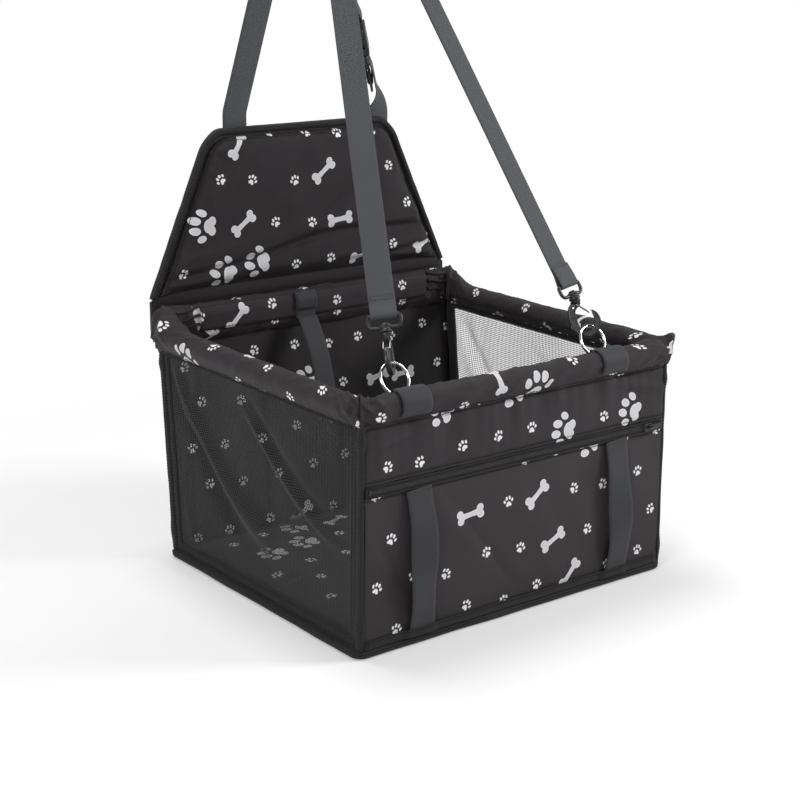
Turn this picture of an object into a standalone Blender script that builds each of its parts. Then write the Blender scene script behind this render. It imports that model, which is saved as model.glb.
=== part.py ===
import math

import bmesh
import bpy
from mathutils import Matrix, Vector

# Sizes are in metres. X runs along the front, Y to the back, Z up, from the middle of the bottom.

# The box
box_width = 0.400
box_depth = 0.340
rim_height = 0.2375
rim_inset = 0.0075
front_rim_setback = 0.007
rear_wall_lean = 0.016
fit_gap = 0.0003
cut_overrun = 0.004

# The bottom
edge_tape_width = 0.007
edge_tape_height = 0.008
edge_corner_radius = 0.008
base_cloth_thickness = 0.003
base_board_thickness = 0.003
pad_thickness = 0.007
pad_crown = 0.006
pad_margin = 0.006
pad_draw_in = 0.004
pad_channel_depth = 0.0022
pad_channel_width = 0.006
pad_edge_roll = 0.016

# The soft walls
wall_thickness = 0.002
pocket_bow = 0.004
wall_bow = 0.0015
front_layer_spacing = 0.005
rear_wall_thickness = 0.003
corner_tape_width = 0.004
corner_tape_depth = 0.007
mesh_frame_width = 0.010
mesh_frame_thickness = 0.003
mesh_thickness = 0.0012
mesh_bar_width = 0.0042
mesh_cells_across = 10
mesh_cells_up = 6

# The zip
zip_height = 0.161
zip_tape_width = 0.011
zip_tape_thickness = 0.001
zip_end_margin = 0.004
zip_coil_width = 0.004
zip_coil_thickness = 0.0016
zip_tooth_pitch = 0.010
zip_tooth_share = 0.55
slider_length = 0.011
slider_width = 0.0085
slider_thickness = 0.0046
slider_place_share = 0.42
slider_place = slider_place_share * box_width
slider_wall = 0.0009
pull_length = 0.0175
pull_width = 0.0066
pull_thickness = 0.0012
pull_bar = 0.0013
bail_radius = 0.0008
bail_half_span = 0.0032

# The webbing bands on the front
band_width = 0.030
band_thickness = 0.0015
band_bow = 0.007
band_foot = 0.0105
band_place_share = 0.3175
left_band_place = -band_place_share * box_width
right_band_place = band_place_share * box_width

# The rim
tube_diameter = 0.020
tube_wall = 0.0018
sleeve_diameter = 0.0255
sleeve_wall = 0.00235
rear_sleeve_height = 0.041
elbow_bend = 0.012
elbow_leg = 0.034
tube_end_gap = 0.014

# The rings and their tabs
ring_diameter = 0.034
ring_wire = 0.0032
left_ring_share = -0.345
right_ring_share = 0.28
left_ring_place = left_ring_share * box_width
right_ring_place = right_ring_share * box_width
tab_width = 0.034
tab_neck = 0.017
tab_thickness = 0.0014
tab_end_angle = math.radians(42)
ring_tab_angle = math.radians(165)

# The swivel hooks
hook_length = 0.0285
hook_bowl_radius = 0.0081
hook_seat_rise = 0.0036
hook_arm_width = 0.0050
hook_thickness = 0.0042
hook_edge_round = 0.0008
hook_hole_radius = 0.0010
left_hook_turn = math.radians(45)
right_hook_turn = math.radians(-45)
left_strap_turn = math.radians(-36)
right_strap_turn = math.radians(4)
ridge_height = 0.0005
collar_height = 0.0082
collar_radius = 0.0060
collar_waist = 0.0048
pin_radius = 0.0019
neck_radius = 0.0028
pin_head_radius = 0.0034
pin_head_height = 0.0016
eye_height = 0.0122
eye_wire = 0.0036
eye_play = 0.0010
eye_upper_bend = 0.0034
eye_lower_bend = 0.0062
gate_wire = 0.0014
gate_pivot_drop = 0.0042
gate_pivot_offset = -0.0010
gate_pin_play = 0.0003
gate_pin_gap = 0.0004
gate_bend = 0.0014

# The shoulder strap and the headrest straps
strap_width = 0.025
headrest_strap_width = 0.030
strap_thickness = 0.0015
strap_overlap = 0.021
strap_layer_gap = 0.0004
strap_closing_length = 0.014
apex_height = 0.767
apex_depth = 0.150
apex_bend = 0.014
headrest_apex_height = 0.757
headrest_apex_depth = 0.186
left_strap_place = -0.081
right_strap_place = 0.108
strap_sewn_length = 0.028
buckle_rise = 0.062
buckle_turn = math.radians(52)

# The back panel
panel_top_height = 0.443
panel_top_width = 0.236
panel_bottom_width = 0.392
panel_corner_radius = 0.024
panel_lean = 0.006
panel_board_thickness = 0.0022
panel_cloth_thickness = 0.001
panel_pad_edge = 0.0015
panel_pad_crown = 0.0055
panel_crease_depth = 0.0022
panel_crease_width = 0.012
panel_edge_tape_width = 0.0035
panel_edge_tape_depth = 0.0085
fold_height = 0.2695
fold_roll_diameter = 0.0058
fold_clearance = 0.0007
lower_strip_foot = 0.219

# The buckle on the headrest strap
buckle_width = 0.038
buckle_thickness = 0.0105
buckle_shell_height = 0.030
buckle_wall = 0.0016
buckle_bar_height = 0.0036
buckle_slot_height = 0.0070
buckle_base_height = 0.0040
buckle_plate = 0.0032
prong_width = 0.0042
prong_reach = 0.022
guide_width = 0.0060
buckle_window_height = 0.013
buckle_play = 0.0006
glide_width = 0.038
glide_bar = 0.0026
glide_slot = 0.0062
glide_thickness = 0.0024
glide_drop = 0.006

# The tether in the cabin
tether_width = 0.025
tether_place_share = -0.05
tether_place = tether_place_share * box_width
tether_drop = 0.098
tether_reach = 0.040
tether_sewn_length = 0.014


# Scene and finishes

for old in list(bpy.data.objects):
    bpy.data.objects.remove(old, do_unlink=True)

finishes = {
    "cloth": ((0.022, 0.021, 0.023, 1.0), 0.75, 0.0),
    "tape": ((0.012, 0.012, 0.013, 1.0), 0.85, 0.0),
    "mesh": ((0.015, 0.015, 0.016, 1.0), 0.8, 0.0),
    "webbing": ((0.085, 0.088, 0.097, 1.0), 0.8, 0.0),
    "plastic": ((0.025, 0.025, 0.027, 1.0), 0.42, 0.0),
    "steel": ((0.72, 0.72, 0.74, 1.0), 0.16, 1.0),
    "board": ((0.28, 0.25, 0.21, 1.0), 0.8, 0.0),
    "tube": ((0.78, 0.78, 0.76, 1.0), 0.5, 0.0),
}


def own_material(name, finish):
    colour, roughness, metallic = finishes[finish]
    material = bpy.data.materials.new(name + "_finish")
    material.use_nodes = True
    shader = material.node_tree.nodes["Principled BSDF"]
    shader.inputs["Base Color"].default_value = colour
    shader.inputs["Roughness"].default_value = roughness
    shader.inputs["Metallic"].default_value = metallic
    material.diffuse_color = colour
    return material


def pivot(name, matrix, parent=None):
    """An empty on a joint's axis, at a place given in the world."""
    empty = bpy.data.objects.new(name, None)
    bpy.context.scene.collection.objects.link(empty)
    empty["place"] = [value for row in matrix for value in row]
    if parent is None:
        empty.matrix_basis = matrix
        return empty
    empty.parent = parent
    empty.matrix_basis = place_of(parent).inverted() @ matrix
    return empty


def place_of(empty):
    values = list(empty["place"])
    return Matrix([values[row * 4 : row * 4 + 4] for row in range(4)])


def hang(obj, empty):
    """Parents a piece modelled in the world to an empty, and leaves it where it is."""
    obj.parent = empty
    obj.matrix_parent_inverse = place_of(empty).inverted()
    return obj


def seat(obj, empty):
    """Parents a piece modelled about the empty's own origin."""
    obj.parent = empty
    return obj


def new_object(name, bm, finish, smooth=True):
    bmesh.ops.recalc_face_normals(bm, faces=bm.faces)
    mesh = bpy.data.meshes.new(name)
    bm.to_mesh(mesh)
    bm.free()
    if smooth:
        mesh.shade_smooth()
        mesh.set_sharp_from_angle(angle=math.radians(35))
    mesh.materials.append(own_material(name, finish))
    obj = bpy.data.objects.new(name, mesh)
    bpy.context.scene.collection.objects.link(obj)
    return obj


# Ways to make a solid


def loft(name, loops, finish, ring=False):
    """Joins loops of points one after the other. A ring closes on itself, and other ends are capped."""
    bm = bmesh.new()
    made = [[bm.verts.new(point) for point in loop] for loop in loops]
    pairs = list(zip(made, made[1:]))
    if ring:
        pairs.append((made[-1], made[0]))
    for first, second in pairs:
        for i in range(len(first)):
            j = (i + 1) % len(first)
            bm.faces.new((first[i], first[j], second[j], second[i]))
    if not ring:
        bm.faces.new(made[0])
        bm.faces.new(made[-1])
    return new_object(name, bm, finish)


def sheet(name, rows, thickness, finish):
    """A layer of cloth, board or webbing through rows of points, thickened evenly to both sides."""
    bm = bmesh.new()
    made = [[bm.verts.new(point) for point in row] for row in rows]
    for lower, upper in zip(made, made[1:]):
        for i in range(len(lower) - 1):
            bm.faces.new((lower[i], lower[i + 1], upper[i + 1], upper[i]))
    bmesh.ops.recalc_face_normals(bm, faces=bm.faces)
    obj = new_object(name, bm, finish)
    solid = obj.modifiers.new("thickness", "SOLIDIFY")
    solid.thickness = thickness
    solid.offset = 0
    solid.use_even_offset = True
    return obj


def plate(name, outline, thickness, finish, edge_round=0.0):
    """An outline in X and Z, thickened evenly along Y."""
    bm = bmesh.new()
    face = bm.faces.new([bm.verts.new((x, -thickness / 2, z)) for x, z in outline])
    grown = bmesh.ops.extrude_face_region(bm, geom=[face])
    moved = [item for item in grown["geom"] if isinstance(item, bmesh.types.BMVert)]
    bmesh.ops.translate(bm, vec=(0, thickness, 0), verts=moved)
    obj = new_object(name, bm, finish)
    if edge_round:
        bevel = obj.modifiers.new("edges", "BEVEL")
        bevel.width = edge_round
        bevel.segments = 1
        bevel.limit_method = "ANGLE"
        bevel.angle_limit = math.radians(50)
    return obj


def wire(name, points, radius, finish, closed=False, sides=10):
    """A round wire along points: a loop of the points round each, square to the way it runs."""
    loops = []
    count = len(points)
    side = None
    for k, point in enumerate(points):
        before = points[k - 1] if closed or k > 0 else point
        after = points[(k + 1) % count] if closed or k < count - 1 else point
        along = (after - before).normalized()
        if side is None:
            side = along.orthogonal().normalized()
        side = (side - along * side.dot(along)).normalized()
        other = along.cross(side)
        turns = [2 * math.pi * n / sides for n in range(sides)]
        loops.append([point + radius * (math.cos(a) * side + math.sin(a) * other) for a in turns])
    return loft(name, loops, finish, ring=closed)


def rod(name, start, end, radius, finish, sides=16):
    return wire(name, [start, end], radius, finish, sides=sides)


def as_tool(obj):
    obj.hide_render = True
    obj.display_type = "WIRE"
    return obj


def cut(obj, tool):
    boolean = obj.modifiers.new("cut", "BOOLEAN")
    boolean.operation = "DIFFERENCE"
    boolean.object = as_tool(tool)


def join(obj, tool):
    boolean = obj.modifiers.new("join", "BOOLEAN")
    boolean.operation = "UNION"
    boolean.object = as_tool(tool)


# Curves


def smooth_path(points, steps):
    """Points along a smooth curve through the given ones, with the ends repeated."""
    chain = [2 * points[0] - points[1]] + list(points) + [2 * points[-1] - points[-2]]
    found = []
    for k in range(1, len(chain) - 2):
        a, b, c, d = chain[k - 1 : k + 3]
        for n in range(steps):
            t = n / steps
            square = (2 * a - 5 * b + 4 * c - d) * t**2
            cube = (3 * b - a - 3 * c + d) * t**3
            found.append((2 * b + (c - a) * t + square + cube) / 2)
    found.append(points[-1])
    return found


def rounded_path(points, radius, steps=4, closed=False):
    """A path with each bend rounded by an arc-like curve that starts one radius from the corner."""
    found = []
    count = len(points)
    for k, corner in enumerate(points):
        if not closed and k in (0, count - 1):
            found.append(corner)
            continue
        before = points[k - 1]
        after = points[(k + 1) % count]
        start = corner + (before - corner).normalized() * radius
        end = corner + (after - corner).normalized() * radius
        for n in range(steps + 1):
            t = n / steps
            found.append((1 - t) ** 2 * start + 2 * t * (1 - t) * corner + t**2 * end)
    return found


def rounded_rectangle(half_x, half_y, radius, steps=5):
    """Pairs of a point and its outward direction round a rectangle, in the plane of X and Y."""
    found = []
    for corner in range(4):
        sign_x = (1, -1, -1, 1)[corner]
        sign_y = (1, 1, -1, -1)[corner]
        for n in range(steps + 1):
            a = math.pi / 2 * (corner + n / steps)
            out = Vector((math.cos(a), math.sin(a), 0))
            middle = Vector((sign_x * (half_x - radius), sign_y * (half_y - radius), 0))
            found.append((middle + radius * out, out))
    return found


def bump(t):
    """0 at both ends of 0 to 1, and 1 in the middle."""
    return math.sin(math.pi * min(max(t, 0.0), 1.0))


def ease(t):
    t = min(max(t, 0.0), 1.0)
    return t * t * (3 - 2 * t)


# Places that the sizes give

half_width = box_width / 2
half_depth = box_depth / 2
sleeve_radius = sleeve_diameter / 2
rim_side = half_width - rim_inset
rim_front = front_rim_setback - half_depth
rim_rear = half_depth + rear_wall_lean
wall_foot = edge_tape_height + fit_gap
wall_head = rim_height - sleeve_radius - fit_gap
rear_sleeve_rise = rear_sleeve_height - sleeve_diameter
rear_sleeve_top = rim_height + sleeve_radius + rear_sleeve_rise
edge_middle_x = half_width - edge_tape_width / 2
edge_middle_y = half_depth - edge_tape_width / 2
corner_step = edge_corner_radius * (1 - math.sqrt(0.5))
corner_foot_x = edge_middle_x - corner_step
corner_foot_y = edge_middle_y - corner_step
board_top = base_cloth_thickness + fit_gap + base_board_thickness
pad_foot = board_top + fit_gap
pad_top = pad_foot + pad_thickness + pad_crown


def wall_side(height):
    """How far the side walls stand from the middle at a height."""
    t = (height - wall_foot) / (wall_head - wall_foot)
    return corner_foot_x + (rim_side - corner_foot_x) * t


def front_line(height):
    """Where the corner tapes of the front stand in Y at a height."""
    t = (height - wall_foot) / (wall_head - wall_foot)
    return -corner_foot_y + (rim_front + corner_foot_y) * t


def rear_line(height):
    t = (height - wall_foot) / (wall_head - wall_foot)
    return corner_foot_y + (rim_rear - corner_foot_y) * t


# Bodies of the assembly, each an empty on the axis that it moves about

car_seat = pivot("car_seat", Matrix.Identity(4))
rim = pivot("rim", Matrix.Translation((0, 0, rim_height)), car_seat)


def make_bottom():
    inner_x = half_width - edge_tape_width - fit_gap
    inner_y = half_depth - edge_tape_width - fit_gap
    round_inside = edge_corner_radius
    section = []
    for n in range(12):
        a = 2 * math.pi * n / 12
        section.append((edge_tape_width / 2 * math.cos(a), edge_tape_height / 2 * max(math.sin(a), -0.9)))
    lift = edge_tape_height / 2 * 0.9
    loops = []
    for point, out in rounded_rectangle(edge_middle_x, edge_middle_y, edge_corner_radius):
        loops.append([point + out * across + Vector((0, 0, up + lift)) for across, up in section])
    seat(loft("base_edge_tape", loops, "tape", ring=True), car_seat)

    for name, foot, thickness, finish in (
        ("base_cloth", 0, base_cloth_thickness, "cloth"),
        ("base_board", base_cloth_thickness + fit_gap, base_board_thickness, "board"),
    ):
        ring = [point for point, _ in rounded_rectangle(inner_x, inner_y, round_inside)]
        lower = [point + Vector((0, 0, foot)) for point in ring]
        upper = [point + Vector((0, 0, foot + thickness)) for point in ring]
        seat(loft(name, [lower, upper], finish), car_seat)


def pad_surface(u, v, half_x, half_y):
    """A point on the top of the floor pad, for shares of its width and depth."""
    x = (2 * u - 1) * (half_x - pad_draw_in * bump(v))
    y = (2 * v - 1) * (half_y - pad_draw_in * bump(u))
    edge = min(half_x - abs(x), half_y - abs(y))
    roll = math.sqrt(max(0.0, 1 - (1 - min(edge / pad_edge_roll, 1.0)) ** 2))
    height = pad_thickness * (0.35 + 0.65 * roll) + pad_crown * bump(u) * bump(v)
    for line_share in (1 / 3, 2 / 3):
        near = (x / (2 * half_x) + 0.5 - line_share) * 2 * half_x / pad_channel_width
        height -= pad_channel_depth * math.exp(-near * near)
    near = y / pad_channel_width
    height -= pad_channel_depth * math.exp(-near * near)
    return Vector((x, y, pad_foot + height))


def make_floor_pad():
    half_x = half_width - edge_tape_width - pad_margin
    half_y = half_depth - edge_tape_width - pad_margin
    across, along = 21, 18
    bm = bmesh.new()
    rows = []
    for j in range(along + 1):
        row = [bm.verts.new(pad_surface(i / across, j / along, half_x, half_y)) for i in range(across + 1)]
        rows.append(row)
    for lower, upper in zip(rows, rows[1:]):
        for i in range(across):
            bm.faces.new((lower[i], lower[i + 1], upper[i + 1], upper[i]))
    right_edge = [row[-1] for row in rows[:-1]]
    left_edge = [row[0] for row in rows[:0:-1]]
    border = rows[0][:-1] + right_edge + rows[-1][:0:-1] + left_edge
    feet = [bm.verts.new((vert.co.x, vert.co.y, pad_foot)) for vert in border]
    for i in range(len(border)):
        j = (i + 1) % len(border)
        bm.faces.new((border[i], border[j], feet[j], feet[i]))
    bm.faces.new(feet)
    seat(new_object("floor_pad", bm, "cloth"), car_seat)


# Front wall: an inner wall, and in front of it the upper panel, the zip and the pocket panel


def front_reach(height):
    """Half the width of a front layer, which stops at the corner tapes."""
    return wall_side(height) - corner_tape_width / 2 - fit_gap


def front_sheet(name, foot, head, middle_at, bow, finish="cloth", columns=12, rows=6):
    """A front layer between two heights. middle_at gives its place in Y, and it bows forwards."""
    grid = []
    for j in range(rows + 1):
        height = foot + (head - foot) * j / rows
        row = []
        for i in range(columns + 1):
            x = (2 * i / columns - 1) * front_reach(height)
            y = middle_at(height) - bow * bump(i / columns) * bump(j / rows)
            row.append(Vector((x, y, height)))
        grid.append(row)
    return seat(sheet(name, grid, wall_thickness, finish), car_seat)


def inner_front(height):
    return front_line(height) + (front_layer_spacing - wall_thickness) / 2


def outer_front(height):
    """The front layers outside the pocket, which meet the inner wall under the rim."""
    t = max(0.0, (height - zip_height) / (wall_head - zip_height))
    nearer = front_layer_spacing - wall_thickness - fit_gap
    return inner_front(height) - front_layer_spacing + nearer * ease(t)


zip_foot = zip_height - zip_tape_width / 2
zip_head = zip_height + zip_tape_width / 2


def make_front():
    front_sheet("front_wall", wall_foot, wall_head, inner_front, 0)
    front_sheet("front_upper_panel", zip_head + fit_gap, wall_head, outer_front, wall_bow, rows=4)
    front_sheet("front_pocket_panel", wall_foot, zip_foot - fit_gap, outer_front, pocket_bow, rows=8)


def pocket_face(x, height):
    """Where the face of the pocket panel is in Y."""
    across = (x / front_reach(height) + 1) / 2
    up = (height - wall_foot) / (zip_foot - fit_gap - wall_foot)
    return outer_front(height) - pocket_bow * bump(across) * bump(up) - wall_thickness / 2


def make_front_bands():
    head = zip_foot - fit_gap
    for name, middle in (("front_band_left", left_band_place), ("front_band_right", right_band_place)):
        rows = []
        steps = 14
        for j in range(steps + 1):
            height = band_foot + (head - band_foot) * j / steps
            stand = fit_gap + band_thickness / 2 + band_bow * bump(j / steps) ** 1.5
            y = min(pocket_face(middle + side * band_width / 2, height) for side in (-1, 0, 1)) - stand
            rows.append([Vector((middle + side * band_width / 2, y, height)) for side in (-1, 1)])
        seat(sheet(name, rows, band_thickness, "webbing"), car_seat)


# The zip

zip_face = outer_front(zip_height) - wall_thickness / 2
zip_place = Matrix.Translation((0, zip_face, zip_height))
zip_band = pivot("zip_band", zip_place, car_seat)
coil_back = zip_face - fit_gap
slider_middle_y = coil_back - zip_coil_thickness / 2
zip_slider_pivot = pivot(
    "zip_slider_axis",
    Matrix.Translation((slider_place, slider_middle_y, zip_height)),
    zip_band,
)
pull_stand = math.hypot(pull_bar, pull_thickness) / 2 + fit_gap
pull_axis_y = slider_middle_y - slider_thickness / 2 - pull_stand
bail_height = 2 * pull_stand + bail_radius
pull_pivot = pivot(
    "zip_pull_axis",
    Matrix.Translation((slider_place, pull_axis_y, zip_height)),
    zip_slider_pivot,
)


def box_points(low, high):
    x0, y0, z0 = low
    x1, y1, z1 = high
    lower = [Vector((x0, y0, z0)), Vector((x1, y0, z0)), Vector((x1, y1, z0)), Vector((x0, y1, z0))]
    upper = [Vector((point.x, point.y, z1)) for point in lower]
    return [lower, upper]


def block(name, low, high, finish, edge_round=0.0):
    obj = loft(name, box_points(low, high), finish)
    if edge_round:
        bevel = obj.modifiers.new("edges", "BEVEL")
        bevel.width = edge_round
        bevel.segments = 2
    return obj


def make_zip():
    reach = front_reach(zip_height) - zip_end_margin

    # The coil is a strip with a notch between each pair of turns, sewn on its tape
    outline = []
    count = int(2 * (reach - zip_end_margin) / zip_tooth_pitch)
    start = -count * zip_tooth_pitch / 2
    top = zip_coil_width / 2
    waist = top * 0.7
    for n in range(count):
        x = start + n * zip_tooth_pitch
        tooth = zip_tooth_pitch * zip_tooth_share
        outline += [(x, waist), (x, top), (x + tooth, top), (x + tooth, waist)]
    outline.append((start + count * zip_tooth_pitch, waist))
    mirrored = [(x, -z) for x, z in reversed(outline)]
    coil_depth = zip_coil_thickness + fit_gap + zip_tape_thickness / 2
    coil = plate("zip_chain", outline + mirrored, coil_depth, "plastic")
    seat(coil, zip_band)
    coil.location = (0, coil_back - zip_coil_thickness + coil_depth / 2 - zip_face, 0)
    tape = block(
        "zip_tape",
        (-reach - zip_end_margin, 0, -zip_tape_width / 2),
        (reach + zip_end_margin, zip_tape_thickness, zip_tape_width / 2),
        "tape",
    )
    seat(tape, zip_band)
    join(coil, tape)

    # The slider: a top plate and a bottom plate round the coil, joined by a post, with a bail for the pull
    channel = zip_coil_width / 2 + fit_gap * 2
    depth = zip_coil_thickness / 2 + fit_gap / 2
    slider = block(
        "zip_slider",
        (-slider_length / 2, -slider_thickness / 2, -slider_width / 2),
        (slider_length / 2, depth, slider_width / 2),
        "plastic",
        slider_wall,
    )
    trough = block(
        "slider_channel",
        (-slider_length, -depth, -channel),
        (slider_length, slider_thickness, channel),
        "plastic",
    )
    cut(slider, trough)
    loop_start = -slider_thickness / 2 + slider_wall
    rise = -slider_thickness / 2 - bail_height
    bail_points = [
        Vector((-bail_half_span, loop_start, 0)),
        Vector((-bail_half_span, rise, 0)),
        Vector((bail_half_span, rise, 0)),
        Vector((bail_half_span, loop_start, 0)),
    ]
    bail = wire("slider_bail", rounded_path(bail_points, bail_radius * 2), bail_radius, "plastic", sides=8)
    join(slider, bail)
    for obj in (slider, trough, bail):
        seat(obj, zip_slider_pivot)

    # The pull's bar lies under the bail, and its plate along the chain
    half = pull_width / 2
    neck_share, tip_share = 0.86, 0.62
    start = -pull_bar / 2
    end = start + pull_length
    outline = [
        Vector((start, 0, -half * neck_share)),
        Vector((start, 0, half * neck_share)),
        Vector((pull_length / 2, 0, half)),
        Vector((end, 0, half * tip_share)),
        Vector((end, 0, -half * tip_share)),
        Vector((pull_length / 2, 0, -half)),
    ]
    rounded = rounded_path(outline, pull_width / 5, 2, closed=True)
    pull = plate("zip_pull", [(point.x, point.z) for point in rounded], pull_thickness, "plastic")
    slot_half = bail_radius + fit_gap
    hole = block(
        "pull_hole",
        (pull_bar / 2, -cut_overrun, -slot_half),
        (bail_half_span + bail_radius + fit_gap, cut_overrun, slot_half),
        "plastic",
    )
    cut(pull, hole)
    for obj in (pull, hole):
        seat(obj, pull_pivot)


# Side walls of net in a taped frame, the rear wall and the corner tapes


def wall_quad(side, inset):
    """Corners of a side wall, from the front foot round to the front head, drawn in by an inset."""
    play = corner_tape_depth / 2 + fit_gap + inset
    low = wall_foot + inset
    high = wall_head - inset
    return [
        Vector((side * wall_side(low), front_line(low) + play, low)),
        Vector((side * wall_side(low), rear_line(low) - play, low)),
        Vector((side * wall_side(high), rear_line(high) - play, high)),
        Vector((side * wall_side(high), front_line(high) + play, high)),
    ]


def make_side_wall(name, side):
    outer = wall_quad(side, 0)
    inner = wall_quad(side, mesh_frame_width)
    bm = bmesh.new()
    ring_out = [bm.verts.new(point) for point in outer]
    ring_in = [bm.verts.new(point) for point in inner]
    for i in range(4):
        j = (i + 1) % 4
        bm.faces.new((ring_out[i], ring_out[j], ring_in[j], ring_in[i]))
    frame = new_object(name + "_mesh_frame", bm, "tape")
    solid = frame.modifiers.new("thickness", "SOLIDIFY")
    solid.thickness = mesh_frame_thickness
    solid.offset = 0
    seat(frame, car_seat)

    a, b, c, d = wall_quad(side, mesh_frame_width + fit_gap)
    bm = bmesh.new()
    rows = []
    for j in range(mesh_cells_up + 1):
        v = j / mesh_cells_up
        left = a.lerp(d, v)
        right = b.lerp(c, v)
        row = [bm.verts.new(left.lerp(right, i / mesh_cells_across)) for i in range(mesh_cells_across + 1)]
        rows.append(row)
    for lower, upper in zip(rows, rows[1:]):
        for i in range(mesh_cells_across):
            bm.faces.new((lower[i], lower[i + 1], upper[i + 1], upper[i]))
    cells = list(bm.faces)
    bm.normal_update()
    bmesh.ops.inset_individual(bm, faces=cells, thickness=mesh_bar_width / 2, use_even_offset=True)
    bmesh.ops.delete(bm, geom=cells, context="FACES")
    net = new_object(name + "_mesh", bm, "mesh", smooth=False)
    solid = net.modifiers.new("thickness", "SOLIDIFY")
    solid.thickness = mesh_thickness
    solid.offset = 0
    seat(net, car_seat)


def make_rear_wall():
    rows = []
    steps = 5
    for j in range(steps + 1):
        height = wall_foot + (wall_head - wall_foot) * j / steps
        reach = wall_side(height) - corner_tape_width / 2 - fit_gap
        y = rear_line(height)
        rows.append([Vector((side * reach, y, height)) for side in (-1, 0, 1)])
    seat(sheet("rear_wall", rows, rear_wall_thickness, "cloth"), car_seat)


def make_corner_tapes():
    for name, side, line in (
        ("corner_tape_front_left", -1, front_line),
        ("corner_tape_front_right", 1, front_line),
        ("corner_tape_rear_left", -1, rear_line),
        ("corner_tape_rear_right", 1, rear_line),
    ):
        loops = []
        for height in (wall_foot, wall_head):
            middle = Vector((side * wall_side(height), line(height), height))
            loop = []
            for n in range(12):
                a = 2 * math.pi * n / 12
                across = corner_tape_width / 2 * math.cos(a)
                along = corner_tape_depth / 2 * math.sin(a)
                loop.append(middle + Vector((across, along, 0)))
            loops.append(loop)
        seat(loft(name, loops, "tape"), car_seat)


# The rim: four plastic tubes on elbows, inside four cloth sleeves


def rim_corner(side_x, side_y):
    return Vector((side_x * rim_side, rim_rear if side_y > 0 else rim_front, rim_height))


rim_sides = {
    "front": (rim_corner(-1, -1), rim_corner(1, -1)),
    "right": (rim_corner(1, -1), rim_corner(1, 1)),
    "rear": (rim_corner(1, 1), rim_corner(-1, 1)),
    "left": (rim_corner(-1, 1), rim_corner(-1, -1)),
}


def hollow_rod(name, start, end, outer, inner, finish, sides=20, mitre=False, rise=0.0):
    """A hollow round bar, taller above by a rise. A mitre cuts its ends at 45 degrees, longer outside."""
    along = (end - start).normalized()
    up = Vector((0, 0, 1))
    inward = up.cross(along)
    loops = []
    for radius, from_start in ((outer, True), (outer, False), (inner, False), (inner, True)):
        loop = []
        for n in range(sides):
            a = 2 * math.pi * n / sides
            height = radius * math.sin(a) + rise * max(math.sin(a), 0.0)
            lateral = radius * math.cos(a)
            shift = (lateral + fit_gap) if mitre else 0
            base = start + along * shift if from_start else end - along * shift
            loop.append(base + inward * lateral + up * height)
        loops.append(loop)
    return loft(name, loops, finish, ring=True)


def make_rim():
    tube_radius = tube_diameter / 2
    for side, (start, end) in rim_sides.items():
        along = (end - start).normalized()
        trim = along * tube_end_gap
        bore = tube_radius - tube_wall
        hang(hollow_rod("rim_tube_" + side, start + trim, end - trim, tube_radius, bore, "tube"), rim)
        rise = rear_sleeve_rise if side == "rear" else 0.0
        name = "rim_sleeve_" + side
        inside = sleeve_radius - sleeve_wall
        hang(hollow_rod(name, start, end, sleeve_radius, inside, "cloth", 16, True, rise), rim)
    plug = tube_radius - tube_wall - fit_gap
    for name, side_x, side_y in (
        ("rim_elbow_front_left", -1, -1),
        ("rim_elbow_front_right", 1, -1),
        ("rim_elbow_rear_right", 1, 1),
        ("rim_elbow_rear_left", -1, 1),
    ):
        corner = rim_corner(side_x, side_y)
        first = corner + Vector((-side_x * elbow_leg, 0, 0))
        last = corner + Vector((0, -side_y * elbow_leg, 0))
        points = rounded_path([first, corner, last], elbow_bend, 6)
        hang(wire(name, points, plug, "plastic", sides=14), rim)


# Rings, tabs, hooks and straps

wire_radius = ring_wire / 2
ring_bend = (ring_diameter - ring_wire) / 2
tab_axis_reach = sleeve_radius + fit_gap + wire_radius
tab_axis_y = rim_front - tab_axis_reach * math.cos(ring_tab_angle)
tab_axis_height = rim_height + tab_axis_reach * math.sin(ring_tab_angle)


class Frame:
    """A place with three directions: across, out and along."""

    def __init__(self, origin, across, along):
        self.origin = origin
        self.along = along.normalized()
        self.across = (across - self.along * across.dot(self.along)).normalized()
        self.out = self.along.cross(self.across)

    def at(self, across=0.0, out=0.0, along=0.0):
        return self.origin + self.across * across + self.out * out + self.along * along

    def matrix(self):
        columns = Matrix((self.across, self.out, self.along)).transposed().to_4x4()
        return Matrix.Translation(self.origin) @ columns

    def turned(self, angle):
        across = self.across * math.cos(angle) + self.out * math.sin(angle)
        return Frame(self.origin, across, self.along)


straight_share = 0.68
shoulder_apex = Vector((0, apex_depth, apex_height))
ring_axis_at = Vector((0, tab_axis_y, tab_axis_height))
ring_lean = (shoulder_apex - ring_axis_at).normalized()
rings = pivot("rings_axis", Matrix.Translation(ring_axis_at), rim)
hooks_at = ring_axis_at + ring_lean * 2 * ring_bend
shoulder_pivot = pivot("shoulder_strap_axis", Matrix.Translation(hooks_at), rings)


def leg_frame(place, turn):
    """The line of a shoulder strap's leg, from the point where its hook holds the ring's wire."""
    middle = Vector((place, 0, 0)) + ring_axis_at + ring_lean * ring_bend
    hold = middle + ring_lean * ring_bend
    target = shoulder_apex + Vector((math.copysign(apex_bend, place), 0, -apex_bend))
    return Frame(hold, Vector((1, 0, 0)), target - hold).turned(turn), middle


def make_ring(name, middle):
    loops = []
    steps = 26
    side = Vector((1, 0, 0)).cross(ring_lean)
    for k in range(steps):
        a = 2 * math.pi * k / steps
        out = Vector((1, 0, 0)) * math.cos(a) + ring_lean * math.sin(a)
        centre = middle + out * ring_bend
        turns = [2 * math.pi * n / 8 for n in range(8)]
        loops.append([centre + wire_radius * (math.cos(t) * out + math.sin(t) * side) for t in turns])
    hang(loft(name, loops, "steel", ring=True), rings)


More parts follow.
